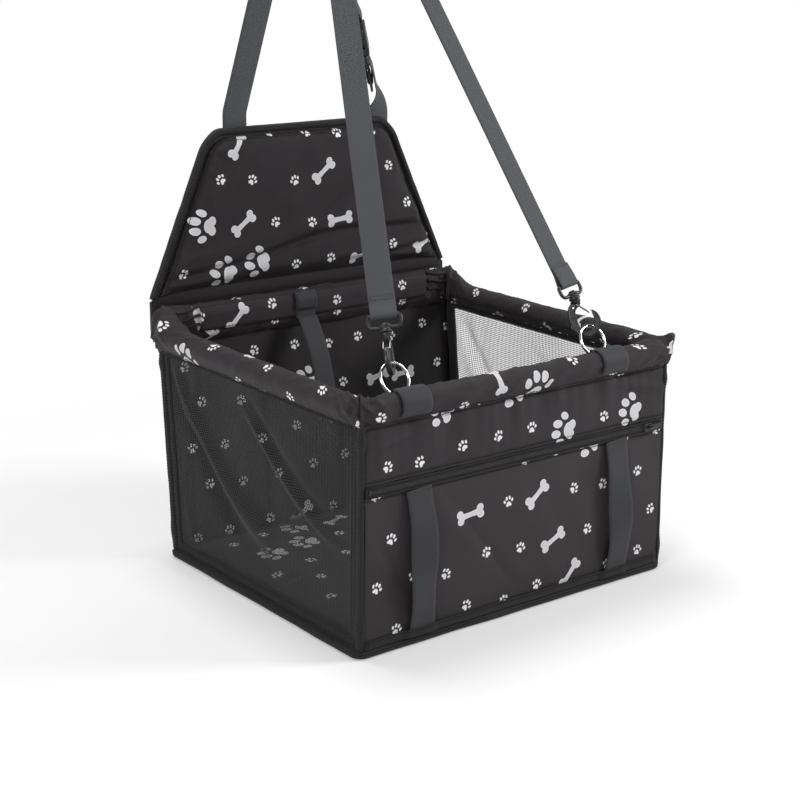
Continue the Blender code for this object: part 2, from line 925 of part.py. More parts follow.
def make_tab(name, place):
    """Webbing round the front sleeve, which holds the ring's wire on its inner side and is pinched there."""
    sleeve_line = sleeve_radius + fit_gap + tab_thickness / 2
    rise = ring_bend - math.sqrt(ring_bend**2 - (tab_neck / 2) ** 2)
    arch = rise + wire_radius + 2 * fit_gap + tab_thickness / 2
    rows = []
    steps = 36
    for k in range(steps + 1):
        angle = -tab_end_angle + (math.pi + 2 * tab_end_angle) * k / steps
        away = angle - ring_tab_angle
        reach = sleeve_line
        inside = arch**2 - (tab_axis_reach * math.sin(away)) ** 2
        if inside > 0 and math.cos(away) > 0:
            reach = max(reach, tab_axis_reach * math.cos(away) + math.sqrt(inside))
        half = (tab_neck + (tab_width - tab_neck) * ease((abs(away) - 0.45) / 0.7)) / 2
        y = rim_front - reach * math.cos(angle)
        z = rim_height + reach * math.sin(angle)
        rows.append([Vector((place + side * half, y, z)) for side in (-1, 1)])
    hang(sheet(name, rows, tab_thickness, "webbing"), rim)


# A hook is modelled about the point where it holds a ring's wire: X to its beak, Z up its shank

bowl_middle = hook_bowl_radius - wire_radius - fit_gap - hook_seat_rise
bowl_line = hook_bowl_radius + hook_arm_width / 2
collar_foot = hook_length + fit_gap
collar_head = collar_foot + collar_height
eye_seat_share = 0.66
eye_low = collar_foot + collar_height * eye_seat_share
eye_high = eye_low + eye_height

# How far the tip's nose stands inwards, as a share of the tip's width
nose_share = 0.35

# Shares of the bowl's radius across, and up from its middle, with the arm's width as a share
hook_line_shares = (
    (0.13, 2.04, 0.96),
    (-0.29, 1.94, 1.18),
    (-0.70, 1.63, 1.25),
    (-0.94, 0.80, 1.20),
    (-0.88, -0.40, 1.05),
    (0.00, -1.00, 1.00),
    (0.88, -0.42, 0.98),
    (1.08, 0.35, 0.90),
    (1.02, 0.88, 0.70),
)


def make_hook_body(name):
    """The hook's arm: a smooth line from the neck round the bowl to the tip, with a width at each point."""
    spine = []
    for across_share, up_share, width_share in hook_line_shares:
        x = bowl_line * across_share
        z = bowl_middle + bowl_line * up_share
        spine.append(Vector((x, hook_arm_width / 2 * width_share, z)))
    # Each point holds X and Z, with half the arm's width in Y
    line = smooth_path(spine, 3)
    outer, inner = [], []
    for k, point in enumerate(line):
        before = line[max(k - 1, 0)]
        after = line[min(k + 1, len(line) - 1)]
        along = Vector((after.x - before.x, after.z - before.z)).normalized()
        normal = Vector((along.y, -along.x))
        share = k / (len(line) - 1)
        ridge = ridge_height * (k % 2) if 0.2 < share < 0.5 else 0.0
        middle = Vector((point.x, point.z))
        outer.append(middle + normal * (point.y + ridge))
        inner.append(middle - normal * point.y)
    tip_out = (outer[-1] + inner[-1]) / 2 + (outer[-1] - outer[-2]).normalized() * hook_arm_width / 4
    nose = inner[-1] + (inner[-1] - outer[-1]) * nose_share
    outline = outer + [tip_out, nose] + inner[:-1][::-1]
    return plate(name, [(point.x, point.y) for point in outline], hook_thickness, "plastic", hook_edge_round)


def solid_turned(name, profile, finish, sides=16):
    """Radii and heights from top to bottom, turned about Z and closed by flat ends."""
    loops = []
    for radius, height in profile:
        turns = [2 * math.pi * n / sides for n in range(sides)]
        loops.append([Vector((radius * math.cos(a), radius * math.sin(a), height)) for a in turns])
    return loft(name, loops, finish)


grip_hole_shares = (-0.45, 1.84)
gate_pivot_x = gate_pivot_offset
gate_pivot_z = hook_length - gate_pivot_drop
tip_across_share, tip_up_share, tip_width_share = hook_line_shares[-1]
gate_radius = gate_wire / 2
gate_side = hook_thickness / 2 + fit_gap + gate_radius
tip_inside = hook_arm_width * tip_width_share * (0.5 + nose_share)
gate_tip_x = bowl_line * tip_across_share - tip_inside - fit_gap - gate_radius
gate_tip_z = bowl_middle + bowl_line * tip_up_share


def make_hook(prefix, frame, turn, strap_holder, wide):
    """The eye turns with the strap, the body swivels in it, and the gate swings on the body."""
    hook_frame = frame.turned(turn)
    strap_side = pivot(prefix + "_eye_axis", frame.matrix(), strap_holder)
    swivel = pivot(prefix + "_swivel_axis", hook_frame.matrix(), strap_side)

    # The eye: a loop for the webbing and a collar for the pin
    half = wide / 2 + eye_play + eye_wire / 2
    upper = [Vector((half, 0, eye_high)), Vector((-half, 0, eye_high))]
    lower = [Vector((-half, 0, eye_low)), Vector((half, 0, eye_low))]
    path = []
    for corner, bend in zip(upper + lower, (eye_upper_bend,) * 2 + (eye_lower_bend,) * 2):
        others = upper + lower
        k = others.index(corner)
        start = corner + (others[k - 1] - corner).normalized() * bend
        end = corner + (others[(k + 1) % 4] - corner).normalized() * bend
        for n in range(5):
            t = n / 4
            path.append((1 - t) ** 2 * start + 2 * t * (1 - t) * corner + t**2 * end)
    eye = wire(prefix + "_eye", path, eye_wire / 2, "plastic", closed=True, sides=8)
    waist = collar_foot + collar_height * 0.45
    collar = solid_turned(
        prefix + "_collar",
        [
            (collar_radius * 0.86, collar_head),
            (collar_radius, collar_head - collar_height * 0.12),
            (collar_radius, collar_head - collar_height * 0.3),
            (collar_waist, waist),
            (collar_radius, collar_foot + collar_height * 0.25),
            (collar_radius, collar_foot + collar_height * 0.1),
            (collar_radius * 0.9, collar_foot),
        ],
        "plastic",
    )
    bore = solid_turned(
        prefix + "_bore",
        [
            (pin_radius + fit_gap, collar_head + cut_overrun),
            (pin_radius + fit_gap, collar_foot - cut_overrun),
        ],
        "plastic",
    )
    join(eye, collar)
    cut(eye, bore)
    for obj in (eye, collar, bore):
        seat(obj, strap_side)

    # The body: a curved arm with a pin that turns in the collar
    body = make_hook_body(prefix + "_body")
    head_foot = collar_head + fit_gap
    pin = solid_turned(
        prefix + "_pin",
        [
            (pin_head_radius * 0.75, head_foot + pin_head_height),
            (pin_head_radius, head_foot + pin_head_height * 0.6),
            (pin_head_radius, head_foot),
            (pin_radius, head_foot),
            (pin_radius, hook_length),
            (neck_radius, hook_length),
            (neck_radius, hook_length - hook_arm_width * 0.7),
        ],
        "plastic",
    )
    join(body, pin)
    tools = [pin]
    holes = [
        rod(
            prefix + "_gate_hole",
            Vector((gate_pivot_x, -cut_overrun, gate_pivot_z)),
            Vector((gate_pivot_x, cut_overrun, gate_pivot_z)),
            gate_radius + gate_pin_play,
            "plastic",
            12,
        )
    ]
    across_share, up_share = grip_hole_shares
    start = Vector((bowl_line * across_share, -cut_overrun, bowl_middle + bowl_line * up_share))
    end = Vector((start.x, cut_overrun, start.z))
    holes.append(rod(prefix + "_small_hole", start, end, hook_hole_radius, "plastic", 10))
    for hole in holes:
        cut(body, hole)
    for obj in [body] + tools + holes:
        seat(obj, swivel)

    # The gate: a bent spring wire with both ends in the hole at the head of the arm
    gate_axis = pivot(
        prefix + "_gate_axis",
        hook_frame.matrix() @ Matrix.Translation((gate_pivot_x, 0, gate_pivot_z)),
        swivel,
    )
    drop_x = gate_tip_x - gate_pivot_x
    drop_z = gate_tip_z - gate_pivot_z
    points = [
        Vector((0, gate_pin_gap, 0)),
        Vector((0, gate_side, 0)),
        Vector((drop_x, gate_side, drop_z)),
        Vector((drop_x, -gate_side, drop_z)),
        Vector((0, -gate_side, 0)),
        Vector((0, -gate_pin_gap, 0)),
    ]
    gate = wire(prefix + "_gate", rounded_path(points, gate_bend, 2), gate_radius, "steel", sides=7)
    seat(gate, gate_axis)


def strap_turn(place, bar_radius, thickness, overlap, tail_side, above=True):
    """Centres of webbing that ends in a fold round a bar at a height, as pairs of out and along."""
    sign = 1 if above else -1
    wrap = bar_radius + fit_gap + thickness / 2
    layer = (thickness + strap_layer_gap) / 2
    points = []
    steps = 6
    for n in range(steps + 1):
        t = n / steps
        out = layer + (wrap - layer) * ease(t)
        up = overlap + (strap_closing_length - overlap) * min(2 * t, 1)
        up -= strap_closing_length * max(2 * t - 1, 0)
        points.append((tail_side * out, place + sign * up))
    for n in range(1, 8):
        a = math.pi * n / 8
        points.append((tail_side * wrap * math.cos(a), place - sign * wrap * math.sin(a)))
    for n in range(steps // 2 + 1):
        t = n / (steps // 2)
        out = wrap + (layer - wrap) * ease(t)
        points.append((-tail_side * out, place + sign * strap_closing_length * t))
    return points


def ribbon(name, points, sides, width, thickness, finish="webbing"):
    """Webbing along points, with its width along the given directions made square to the run."""
    rows = []
    for k, point in enumerate(points):
        before = points[max(k - 1, 0)]
        after = points[min(k + 1, len(points) - 1)]
        along = (after - before).normalized()
        side = sides[k] - along * sides[k].dot(along)
        side = side.normalized() * width / 2
        rows.append([point - side, point + side])
    return sheet(name, rows, thickness, finish)


def rise_to_apex(start, heading, apex, from_side, steps):
    """A curve to the top of the bend over what the strap hangs from, with closer steps there."""
    end = apex + Vector((from_side * strap_layer_gap, 0, 0))
    reach = (end - start).length
    first = start + heading * reach * 0.7
    second = end + Vector((from_side * apex_bend, 0, 0))
    found = []
    for n in range(1, steps + 1):
        t = 1 - (1 - n / steps) ** 2
        found.append(
            (1 - t) ** 3 * start + 3 * t * (1 - t) ** 2 * first + 3 * t**2 * (1 - t) * second + t**3 * end
        )
    return found


def turning(first, second, start_angle, end_angle, steps, start_share, end_share):
    """Directions of a strap's width that turn from one to the other over a part of its run."""
    found = []
    for n in range(1, steps + 1):
        t = ease((n / steps - start_share) / (end_share - start_share))
        angle = start_angle + (end_angle - start_angle) * t
        found.append(first * math.cos(angle) + second * math.sin(angle))
    return found


def make_shoulder_leg(name, frame, turn, from_side):
    """One leg: its sewn end lies behind on the left one and in front on the right one."""
    fold = strap_turn(eye_high, eye_wire / 2, strap_thickness, strap_overlap, -from_side)
    points = [frame.at(0, out, along) for out, along in fold]
    layer = from_side * (strap_thickness + strap_layer_gap) / 2
    # Past the sewn end the webbing runs straight, then turns to lie over the hanger
    run = (shoulder_apex - frame.origin).length
    straight_end = run * straight_share
    starts = eye_high + strap_overlap
    for n in range(1, 7):
        t = n / 6
        along = starts + (straight_end - starts) * t
        points.append(frame.at(0, layer * (1 - ease(t)), along))
    sides = [frame.across] * len(points)
    steps = 14
    top = rise_to_apex(points[-1], frame.along, shoulder_apex, from_side, steps)
    level = frame.turned(-turn)
    sides += turning(level.across, Vector((0, 1, 0)), turn, -math.pi / 2, steps, 0.0, 0.8)
    hang(ribbon(name, points + top, sides, strap_width, strap_thickness), shoulder_pivot)


def make_shoulder_strap():
    for side_name, place, strap_turned, hook_turned in (
        ("left", left_ring_place, left_strap_turn, math.pi + left_hook_turn),
        ("right", right_ring_place, right_strap_turn, right_hook_turn),
    ):
        frame, middle = leg_frame(place, strap_turned)
        make_ring("ring_" + side_name, middle)
        make_tab("ring_tab_" + side_name, place)
        make_hook("hook_" + side_name, frame, hook_turned - strap_turned, shoulder_pivot, strap_width)
        make_shoulder_leg("shoulder_strap_" + side_name, frame, strap_turned, math.copysign(1, place))


# The back panel: a padded front, a board and a rear cloth inside a taped edge

panel_front_face = rim_rear + sleeve_radius + fit_gap
panel_thickness_at_fold = panel_pad_edge + panel_board_thickness + panel_cloth_thickness + 2 * fit_gap
fold_half_gap = fold_roll_diameter / 2 + fold_clearance
fold_axis_y = panel_front_face + panel_thickness_at_fold / 2
panel_foot = fold_height + fold_half_gap
back_panel = pivot("back_panel_axis", Matrix.Translation((0, fold_axis_y, fold_height)), rim)


def panel_half_width(height):
    """Half the width of the back panel inside its edge tape."""
    share = (height - fold_height) / (panel_top_height - fold_height)
    half = (panel_bottom_width + (panel_top_width - panel_bottom_width) * share) / 2
    over = height - (panel_top_height - panel_corner_radius)
    if over > 0:
        over = min(over, panel_corner_radius)
        half -= panel_corner_radius - math.sqrt(panel_corner_radius**2 - over**2)
    return half - panel_edge_tape_width


def panel_y(height):
    """Where the front face of the board stack is in Y, as the panel leans back."""
    share = max(0.0, (height - panel_foot) / (panel_top_height - panel_foot))
    return panel_front_face + panel_lean * share


def panel_rows(heights, columns, middle_of):
    rows = []
    for height in heights:
        half = panel_half_width(height)
        row = []
        for i in range(columns + 1):
            u = i / columns
            row.append(Vector(((2 * u - 1) * half, middle_of(u, height), height)))
        rows.append(row)
    return rows


def panel_heights(foot, head, count):
    """Heights that come closer together round the top corners."""
    shoulder = head - panel_corner_radius + panel_edge_tape_width
    lower = [foot + (shoulder - foot) * n / count for n in range(count)]
    upper = [shoulder + (head - shoulder) * math.sin(math.pi / 2 * n / 5) for n in range(6)]
    return lower + upper


def quilt_depth(u, height):
    """How far the padding stands forward of its edge."""
    head = panel_top_height - panel_edge_tape_width
    up = (height - panel_foot) / (head - panel_foot)
    depth = panel_pad_crown * min(1.0, 1.6 * bump(u)) * min(1.0, 1.5 * bump(up))
    for height_share, slope_share in ((0.24, 0.05), (0.42, -0.04)):
        line = panel_foot + (head - panel_foot) * (height_share + slope_share * (2 * u - 1) ** 2)
        near = (height - line) / panel_crease_width
        depth -= panel_crease_depth * math.exp(-near * near) * bump(u)
    return max(depth, 0.0)


def make_back_panel():
    head = panel_top_height - panel_edge_tape_width
    columns = 18
    heights = panel_heights(panel_foot, head, 16)
    bm = bmesh.new()
    front, rear = [], []
    for height in heights:
        half = panel_half_width(height)
        y = panel_y(height)
        row_front, row_rear = [], []
        for i in range(columns + 1):
            x = (2 * i / columns - 1) * half
            row_front.append(bm.verts.new((x, y - quilt_depth(i / columns, height), height)))
            if i in (0, columns) or height in (heights[0], heights[-1]):
                row_rear.append(bm.verts.new((x, y + panel_pad_edge, height)))
        front.append(row_front)
        rear.append(row_rear)
    for lower, upper in zip(front, front[1:]):
        for i in range(columns):
            bm.faces.new((lower[i], lower[i + 1], upper[i + 1], upper[i]))
    for k in range(len(heights) - 1):
        bm.faces.new((front[k][0], front[k + 1][0], rear[k + 1][0], rear[k][0]))
        bm.faces.new((front[k][-1], front[k + 1][-1], rear[k + 1][-1], rear[k][-1]))
    for k in (0, -1):
        for i in range(columns):
            bm.faces.new((front[k][i], front[k][i + 1], rear[k][i + 1], rear[k][i]))
    left_edge = [row[0] for row in rear]
    right_edge = [row[-1] for row in rear]
    bm.faces.new(rear[0] + right_edge[1:] + rear[-1][:-1][::-1] + left_edge[1:-1][::-1])
    hang(new_object("panel_padding", bm, "cloth"), back_panel)

    board_at = panel_pad_edge + fit_gap + panel_board_thickness / 2
    cloth_at = panel_pad_edge + 2 * fit_gap + panel_board_thickness + panel_cloth_thickness / 2
    for name, offset, thickness, finish in (
        ("panel_board", board_at, panel_board_thickness, "board"),
        ("panel_rear_cloth", cloth_at, panel_cloth_thickness, "cloth"),
    ):
        rows = panel_rows(panel_heights(panel_foot, head, 3), 2, lambda u, height: panel_y(height) + offset)
        hang(sheet(name, rows, thickness, finish), back_panel)

    # The edge tape runs up one side, over the top and down the other
    middle = panel_thickness_at_fold / 2
    line = []
    for height in panel_heights(panel_foot, head, 5):
        line.append(Vector((-panel_half_width(height), panel_y(height) + middle, height)))
    line += [Vector((-point.x, point.y, point.z)) for point in reversed(line)]
    loops = []
    for k, point in enumerate(line):
        before = line[max(k - 1, 0)]
        after = line[min(k + 1, len(line) - 1)]
        along = (after - before).normalized()
        if k in (0, len(line) - 1):
            along = Vector((0, 0, 1 if k == 0 else -1))
        out = along.cross(Vector((0, 1, 0)))
        deep = out.cross(along)
        centre = point + out * (panel_edge_tape_width / 2 + fit_gap)
        loop = []
        for n in range(10):
            a = 2 * math.pi * n / 10
            loop.append(
                centre
                + out * panel_edge_tape_width / 2 * math.cos(a)
                + deep * panel_edge_tape_depth / 2 * math.sin(a)
            )
        loops.append(loop)
    hang(loft("panel_edge_tape", loops, "tape"), back_panel)

    # The strip under the fold stays on the rim, and its upper edge is a roll that the panel folds on
    reach = panel_bottom_width / 2 - panel_edge_tape_width
    strip_reach = panel_bottom_width / 2
    roll = rod(
        "panel_fold_roll",
        Vector((-reach, 0, fold_height)),
        Vector((reach, 0, fold_height)),
        fold_roll_diameter / 2,
        "cloth",
        12,
    )
    outline = [
        Vector((-strip_reach, 0, fold_height - fold_half_gap)),
        Vector((-strip_reach, 0, lower_strip_foot)),
        Vector((strip_reach, 0, lower_strip_foot)),
        Vector((strip_reach, 0, fold_height - fold_half_gap)),
        Vector((reach, 0, fold_height - fold_half_gap)),
        Vector((reach, 0, fold_height)),
        Vector((-reach, 0, fold_height)),
        Vector((-reach, 0, fold_height - fold_half_gap)),
    ]
    rounded = [outline[0]] + rounded_path(outline[:4], panel_corner_radius, 5)[1:-1] + outline[3:]
    strip = plate(
        "panel_lower_strip",
        [(point.x, point.z) for point in rounded],
        panel_thickness_at_fold,
        "cloth",
    )
    join(strip, roll)
    for obj in (strip, roll):
        obj.parent = rim
        obj.location = Vector((0, fold_axis_y, 0)) - place_of(rim).to_translation()


# The headrest strap: one webbing from the panel's left over the hanger, one from its right, and a buckle

panel_rear_face = panel_front_face + panel_thickness_at_fold
headrest_apex = Vector((0, headrest_apex_depth, headrest_apex_height))


def panel_rear_at(height):
    return panel_y(height) + panel_thickness_at_fold


strap_stand = fit_gap + strap_thickness / 2
strap_leave = panel_top_height + panel_edge_tape_width / 2
tape_clear_y = panel_y(panel_top_height) + panel_thickness_at_fold / 2 + panel_edge_tape_depth / 2


def strap_root(place):
    """Points of webbing sewn on the rear of the panel, up over its edge tape to just above the top edge."""
    lift_foot = panel_top_height - panel_corner_radius - panel_edge_tape_width
    lift_head = lift_foot + 3 * panel_edge_tape_width
    low = lift_foot - strap_sewn_length
    clear = tape_clear_y + strap_stand
    return [
        Vector((place, panel_rear_at(low) + strap_stand, low)),
        Vector((place, panel_rear_at(lift_foot) + strap_stand, lift_foot)),
        Vector((place, clear, lift_head)),
        Vector((place, clear, strap_leave)),
    ]


def make_headrest_left():
    points = strap_root(left_strap_place)
    start = points[-1] + Vector((0, 0, strap_sewn_length / 2))
    points.append(start)
    heading = (headrest_apex - Vector((apex_bend, 0, apex_bend)) - start).normalized()
    sides = [Vector((1, 0, 0))] * len(points)
    steps = 18
    points += rise_to_apex(start, heading, headrest_apex, -1, steps)
    sides += turning(Vector((1, 0, 0)), Vector((0, 1, 0)), 0, math.pi / 2, steps, 0.2, 0.85)
    hang(ribbon("headrest_strap_left", points, sides, headrest_strap_width, strap_thickness), back_panel)


right_root = strap_root(right_strap_place)[-1]
right_target = headrest_apex + Vector((apex_bend, 0, -apex_bend))
right_heading = (right_target - right_root).normalized()
buckle_frame = Frame(
    right_root + right_heading * buckle_rise,
    Vector((math.cos(buckle_turn), math.sin(buckle_turn), 0)),
    right_heading,
)
female_pivot = pivot("buckle_female_axis", buckle_frame.matrix(), back_panel)

# Along the buckle's own axis, from the bar that the lower webbing folds over
male_bar_radius = buckle_bar_height / 2
male_slot_top = male_bar_radius + buckle_slot_height
male_head = male_slot_top + buckle_base_height
shell_foot = male_head + fit_gap
shell_head = shell_foot + buckle_shell_height
female_bar = shell_head + buckle_slot_height + male_bar_radius
glide_middle = -(male_bar_radius + glide_drop + glide_slot + 1.5 * glide_bar)
glide_pivot = pivot(
    "strap_glide_axis",
    buckle_frame.matrix() @ Matrix.Translation((0, 0, glide_middle)),
    back_panel,
)
buckle_half = buckle_width / 2
slot_half = headrest_strap_width / 2 + eye_play
bar_corner = math.hypot(male_bar_radius, buckle_plate / 2)
glide_corner = math.hypot(glide_bar, glide_thickness) / 2


def make_buckle():
    # The shell: a hollow box open below, with side windows and a bar above
    shell = block(
        "buckle_female",
        (-buckle_half, -buckle_thickness / 2, shell_foot),
        (buckle_half, buckle_thickness / 2, shell_head),
        "plastic",
        buckle_wall,
    )
    yoke = plate(
        "buckle_yoke",
        [
            (-buckle_half, shell_head - buckle_base_height),
            (buckle_half, shell_head - buckle_base_height),
            (buckle_half, female_bar + male_bar_radius),
            (-buckle_half, female_bar + male_bar_radius),
        ],
        buckle_plate,
        "plastic",
    )
    slot = block(
        "buckle_upper_slot",
        (-slot_half, -cut_overrun, shell_head),
        (slot_half, cut_overrun, female_bar - male_bar_radius),
        "plastic",
    )
    cavity_top = shell_foot + prong_reach + buckle_play
    cavity = block(
        "buckle_cavity",
        (-buckle_half + buckle_wall * 2, -buckle_plate / 2 - buckle_play, shell_foot - cut_overrun),
        (buckle_half - buckle_wall * 2, buckle_plate / 2 + buckle_play, cavity_top),
        "plastic",
    )
    window = block(
        "buckle_window",
        (-buckle_width, -buckle_plate / 2, cavity_top - buckle_window_height - buckle_wall),
        (buckle_width, buckle_plate / 2, cavity_top - buckle_wall),
        "plastic",
    )
    join(shell, yoke)
    for tool in (slot, cavity, window):
        cut(shell, tool)
    for obj in (shell, yoke, slot, cavity, window):
        seat(obj, female_pivot)

    # The plug: a bar for the webbing, a shoulder, a guide and two springy prongs
    low = -male_bar_radius
    spread = buckle_half - buckle_wall * 2 - buckle_play
    tip = male_head + prong_reach
    half_guide = guide_width / 2
    barb = prong_width / 3
    right_side = [
        (buckle_half, low),
        (buckle_half, male_head),
        (spread - barb, male_head),
        (spread - barb, tip - prong_reach * 0.45),
        (spread, tip - prong_reach * 0.40),
        (spread - barb, tip),
        (spread - prong_width, tip - barb),
        (spread - prong_width - barb, male_head + barb),
        (half_guide, male_head + barb),
        (half_guide * 0.7, tip - prong_reach * 0.2),
    ]
    outline = right_side + [(-x, z) for x, z in reversed(right_side)]
    plug = plate("buckle_male", outline, buckle_plate, "plastic")
    hole = block(
        "buckle_lower_slot",
        (-slot_half, -cut_overrun, male_bar_radius),
        (slot_half, cut_overrun, male_slot_top),
        "plastic",
    )
    cut(plug, hole)
    for obj in (plug, hole):
        seat(obj, female_pivot)
        obj.parent = back_panel
        obj.matrix_parent_inverse = place_of(back_panel).inverted()
        obj.matrix_basis = buckle_frame.matrix()

    # The glide: a frame with a middle bar
    half = glide_width / 2
    reach = glide_slot + 1.5 * glide_bar
    glide = plate(
        "strap_glide",
        [(-half, -reach), (half, -reach), (half, reach), (-half, reach)],
        glide_thickness,
        "plastic",
    )
    tools = []
    for name, sign in (("glide_upper_slot", 1), ("glide_lower_slot", -1)):
        near = sign * glide_bar / 2
        far = sign * (glide_bar / 2 + glide_slot)
        low, high = min(near, far), max(near, far)
        tools.append(block(name, (-slot_half, -cut_overrun, low), (slot_half, cut_overrun, high), "plastic"))
    for tool in tools:
        cut(glide, tool)
    for obj in [glide] + tools:
        seat(obj, glide_pivot)


def make_headrest_right():
    # Lower webbing: up from the panel behind the glide, over the plug's bar and back round the glide's bar
    layer = glide_corner + fit_gap + strap_thickness / 2
    back_layer = layer + strap_thickness + strap_layer_gap
    wrap = bar_corner + fit_gap + strap_thickness / 2
    root = strap_root(right_strap_place)
    points = list(root)
    sides = [Vector((1, 0, 0))] * len(points)
    target = buckle_frame.at(0, -back_layer, glide_middle - glide_slot - 2 * glide_bar)
    steps = 8
    start = points[-1]
    handle = (target - start).length / 3
    for n in range(1, steps + 1):
        t = n / steps
        first = start + Vector((0, 0, handle))
        second = target - buckle_frame.along * handle
        points.append(
            (1 - t) ** 3 * start + 3 * t * (1 - t) ** 2 * first + 3 * t**2 * (1 - t) * second + t**3 * target
        )
        turn = buckle_turn * ease(t)
        sides.append(Vector((math.cos(turn), math.sin(turn), 0)))
    run = [(-back_layer, glide_middle), (-back_layer, glide_middle + glide_slot + 2 * glide_bar)]
    for n in range(0, 9):
        a = math.pi * n / 8
        run.append((-wrap * math.cos(a), wrap * math.sin(a)))
    run.append((layer, glide_middle + glide_slot + glide_bar))
    run.append((layer, glide_middle))
    for n in range(1, 8):
        a = math.pi * n / 8
        run.append((layer * math.cos(a), glide_middle - layer * math.sin(a)))
    run.append((-layer, glide_middle))
    run.append((-layer, glide_middle + glide_slot))
    for out, along in run:
        points.append(buckle_frame.at(0, out, along))
        sides.append(buckle_frame.across)
    hang(ribbon("headrest_strap_right", points, sides, headrest_strap_width, strap_thickness), back_panel)

    # Upper webbing: folded round the shell's bar and up over the hanger
    fold = strap_turn(female_bar, bar_corner, strap_thickness, strap_overlap, 1)
    points = [buckle_frame.at(0, out, along) for out, along in fold]
    layer = -(strap_thickness + strap_layer_gap) / 2
    starts = female_bar + strap_overlap
    for n in range(1, 4):
        t = n / 3
        points.append(buckle_frame.at(0, layer * (1 - ease(t)), starts + strap_overlap * t))
    sides = [buckle_frame.across] * len(points)
    steps = 16
    top = rise_to_apex(points[-1], right_heading, headrest_apex, 1, steps)
    sides += turning(Vector((1, 0, 0)), Vector((0, 1, 0)), buckle_turn, math.pi / 2, steps, 0.0, 0.85)
    hang(
        ribbon("headrest_strap_upper", points + top, sides, headrest_strap_width, strap_thickness),
        back_panel,
    )


# The tether: webbing sewn on the rear sleeve, hanging in the cabin with a swivel hook at its end


def make_tether():
    face = rim_rear - sleeve_radius - fit_gap - strap_thickness / 2
    top = rear_sleeve_top - tether_sewn_length / 4
    end = Vector((tether_place, face - tether_reach, top - tether_drop - strap_overlap))
    frame = Frame(end, Vector((-1, 0, 0)), Vector((0, 0, 1)))
    fold = strap_turn(0, eye_wire / 2, strap_thickness, strap_overlap, 1)
    points = [frame.at(0, out, along) for out, along in fold]
    layer = -(strap_thickness + strap_layer_gap) / 2
    start = frame.at(0, layer, strap_overlap)
    curve = smooth_path(
        [
            points[-1],
            start,
            Vector((tether_place, face - tether_reach * 0.66, top - tether_drop * 0.62)),
            Vector((tether_place, face - tether_reach * 0.16, top - tether_drop * 0.28)),
            Vector((tether_place, face, rim_height)),
            Vector((tether_place, face, top)),
        ],
        4,
    )
    points = points + curve[1:]
    sides = [frame.across] * len(points)
    seat(ribbon("tether_strap", points, sides, tether_width, strap_thickness), car_seat)
    origin = end - Vector((0, 0, eye_high))
    make_hook("tether_hook", Frame(origin, Vector((1, 0, 0)), Vector((0, 0, 1))), 0, car_seat, tether_width)


make_bottom()
make_floor_pad()
make_front()
make_front_bands()
make_zip()
make_side_wall("left", -1)
make_side_wall("right", 1)
make_rear_wall()
make_corner_tapes()
make_rim()
make_shoulder_strap()
make_back_panel()
make_headrest_left()
make_buckle()
make_headrest_right()
make_tether()
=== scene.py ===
import math

import bmesh
import bpy
from mathutils import Matrix, Vector, noise
from mathutils.bvhtree import BVHTree


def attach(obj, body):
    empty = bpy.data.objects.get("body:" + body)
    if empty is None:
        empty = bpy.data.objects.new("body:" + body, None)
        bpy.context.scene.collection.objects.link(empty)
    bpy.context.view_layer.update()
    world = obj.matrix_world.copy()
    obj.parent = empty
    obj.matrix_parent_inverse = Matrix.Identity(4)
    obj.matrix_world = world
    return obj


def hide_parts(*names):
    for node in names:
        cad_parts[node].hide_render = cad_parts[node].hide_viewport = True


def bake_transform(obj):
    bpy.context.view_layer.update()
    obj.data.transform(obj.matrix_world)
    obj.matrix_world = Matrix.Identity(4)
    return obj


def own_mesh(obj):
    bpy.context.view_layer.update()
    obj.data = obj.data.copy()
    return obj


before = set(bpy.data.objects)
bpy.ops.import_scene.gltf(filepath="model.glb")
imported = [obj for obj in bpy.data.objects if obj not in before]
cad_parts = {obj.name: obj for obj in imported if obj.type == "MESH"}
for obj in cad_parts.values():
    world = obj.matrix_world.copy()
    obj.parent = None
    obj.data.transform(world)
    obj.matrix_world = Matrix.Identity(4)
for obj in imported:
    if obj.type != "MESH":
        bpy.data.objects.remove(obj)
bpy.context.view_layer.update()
scene = bpy.context.scene

# Everything is in metres. X runs along the front, Y to the back, Z up.
box = {
    "rimHeight": 0.2375,
    "rimSide": 0.1925,
    "rimFront": -0.163,
    "rimRear": 0.186,
    "footX": 0.19416,
    "footY": 0.16416,
    "wallFoot": 0.0083,
    "wallHead": 0.22445,
    "gap": 0.0003,
    "sleeveRadius": 0.01275,
    "sleeveRise": 0.0155,
    "zipHeight": 0.161,
}


# Numbers in a material


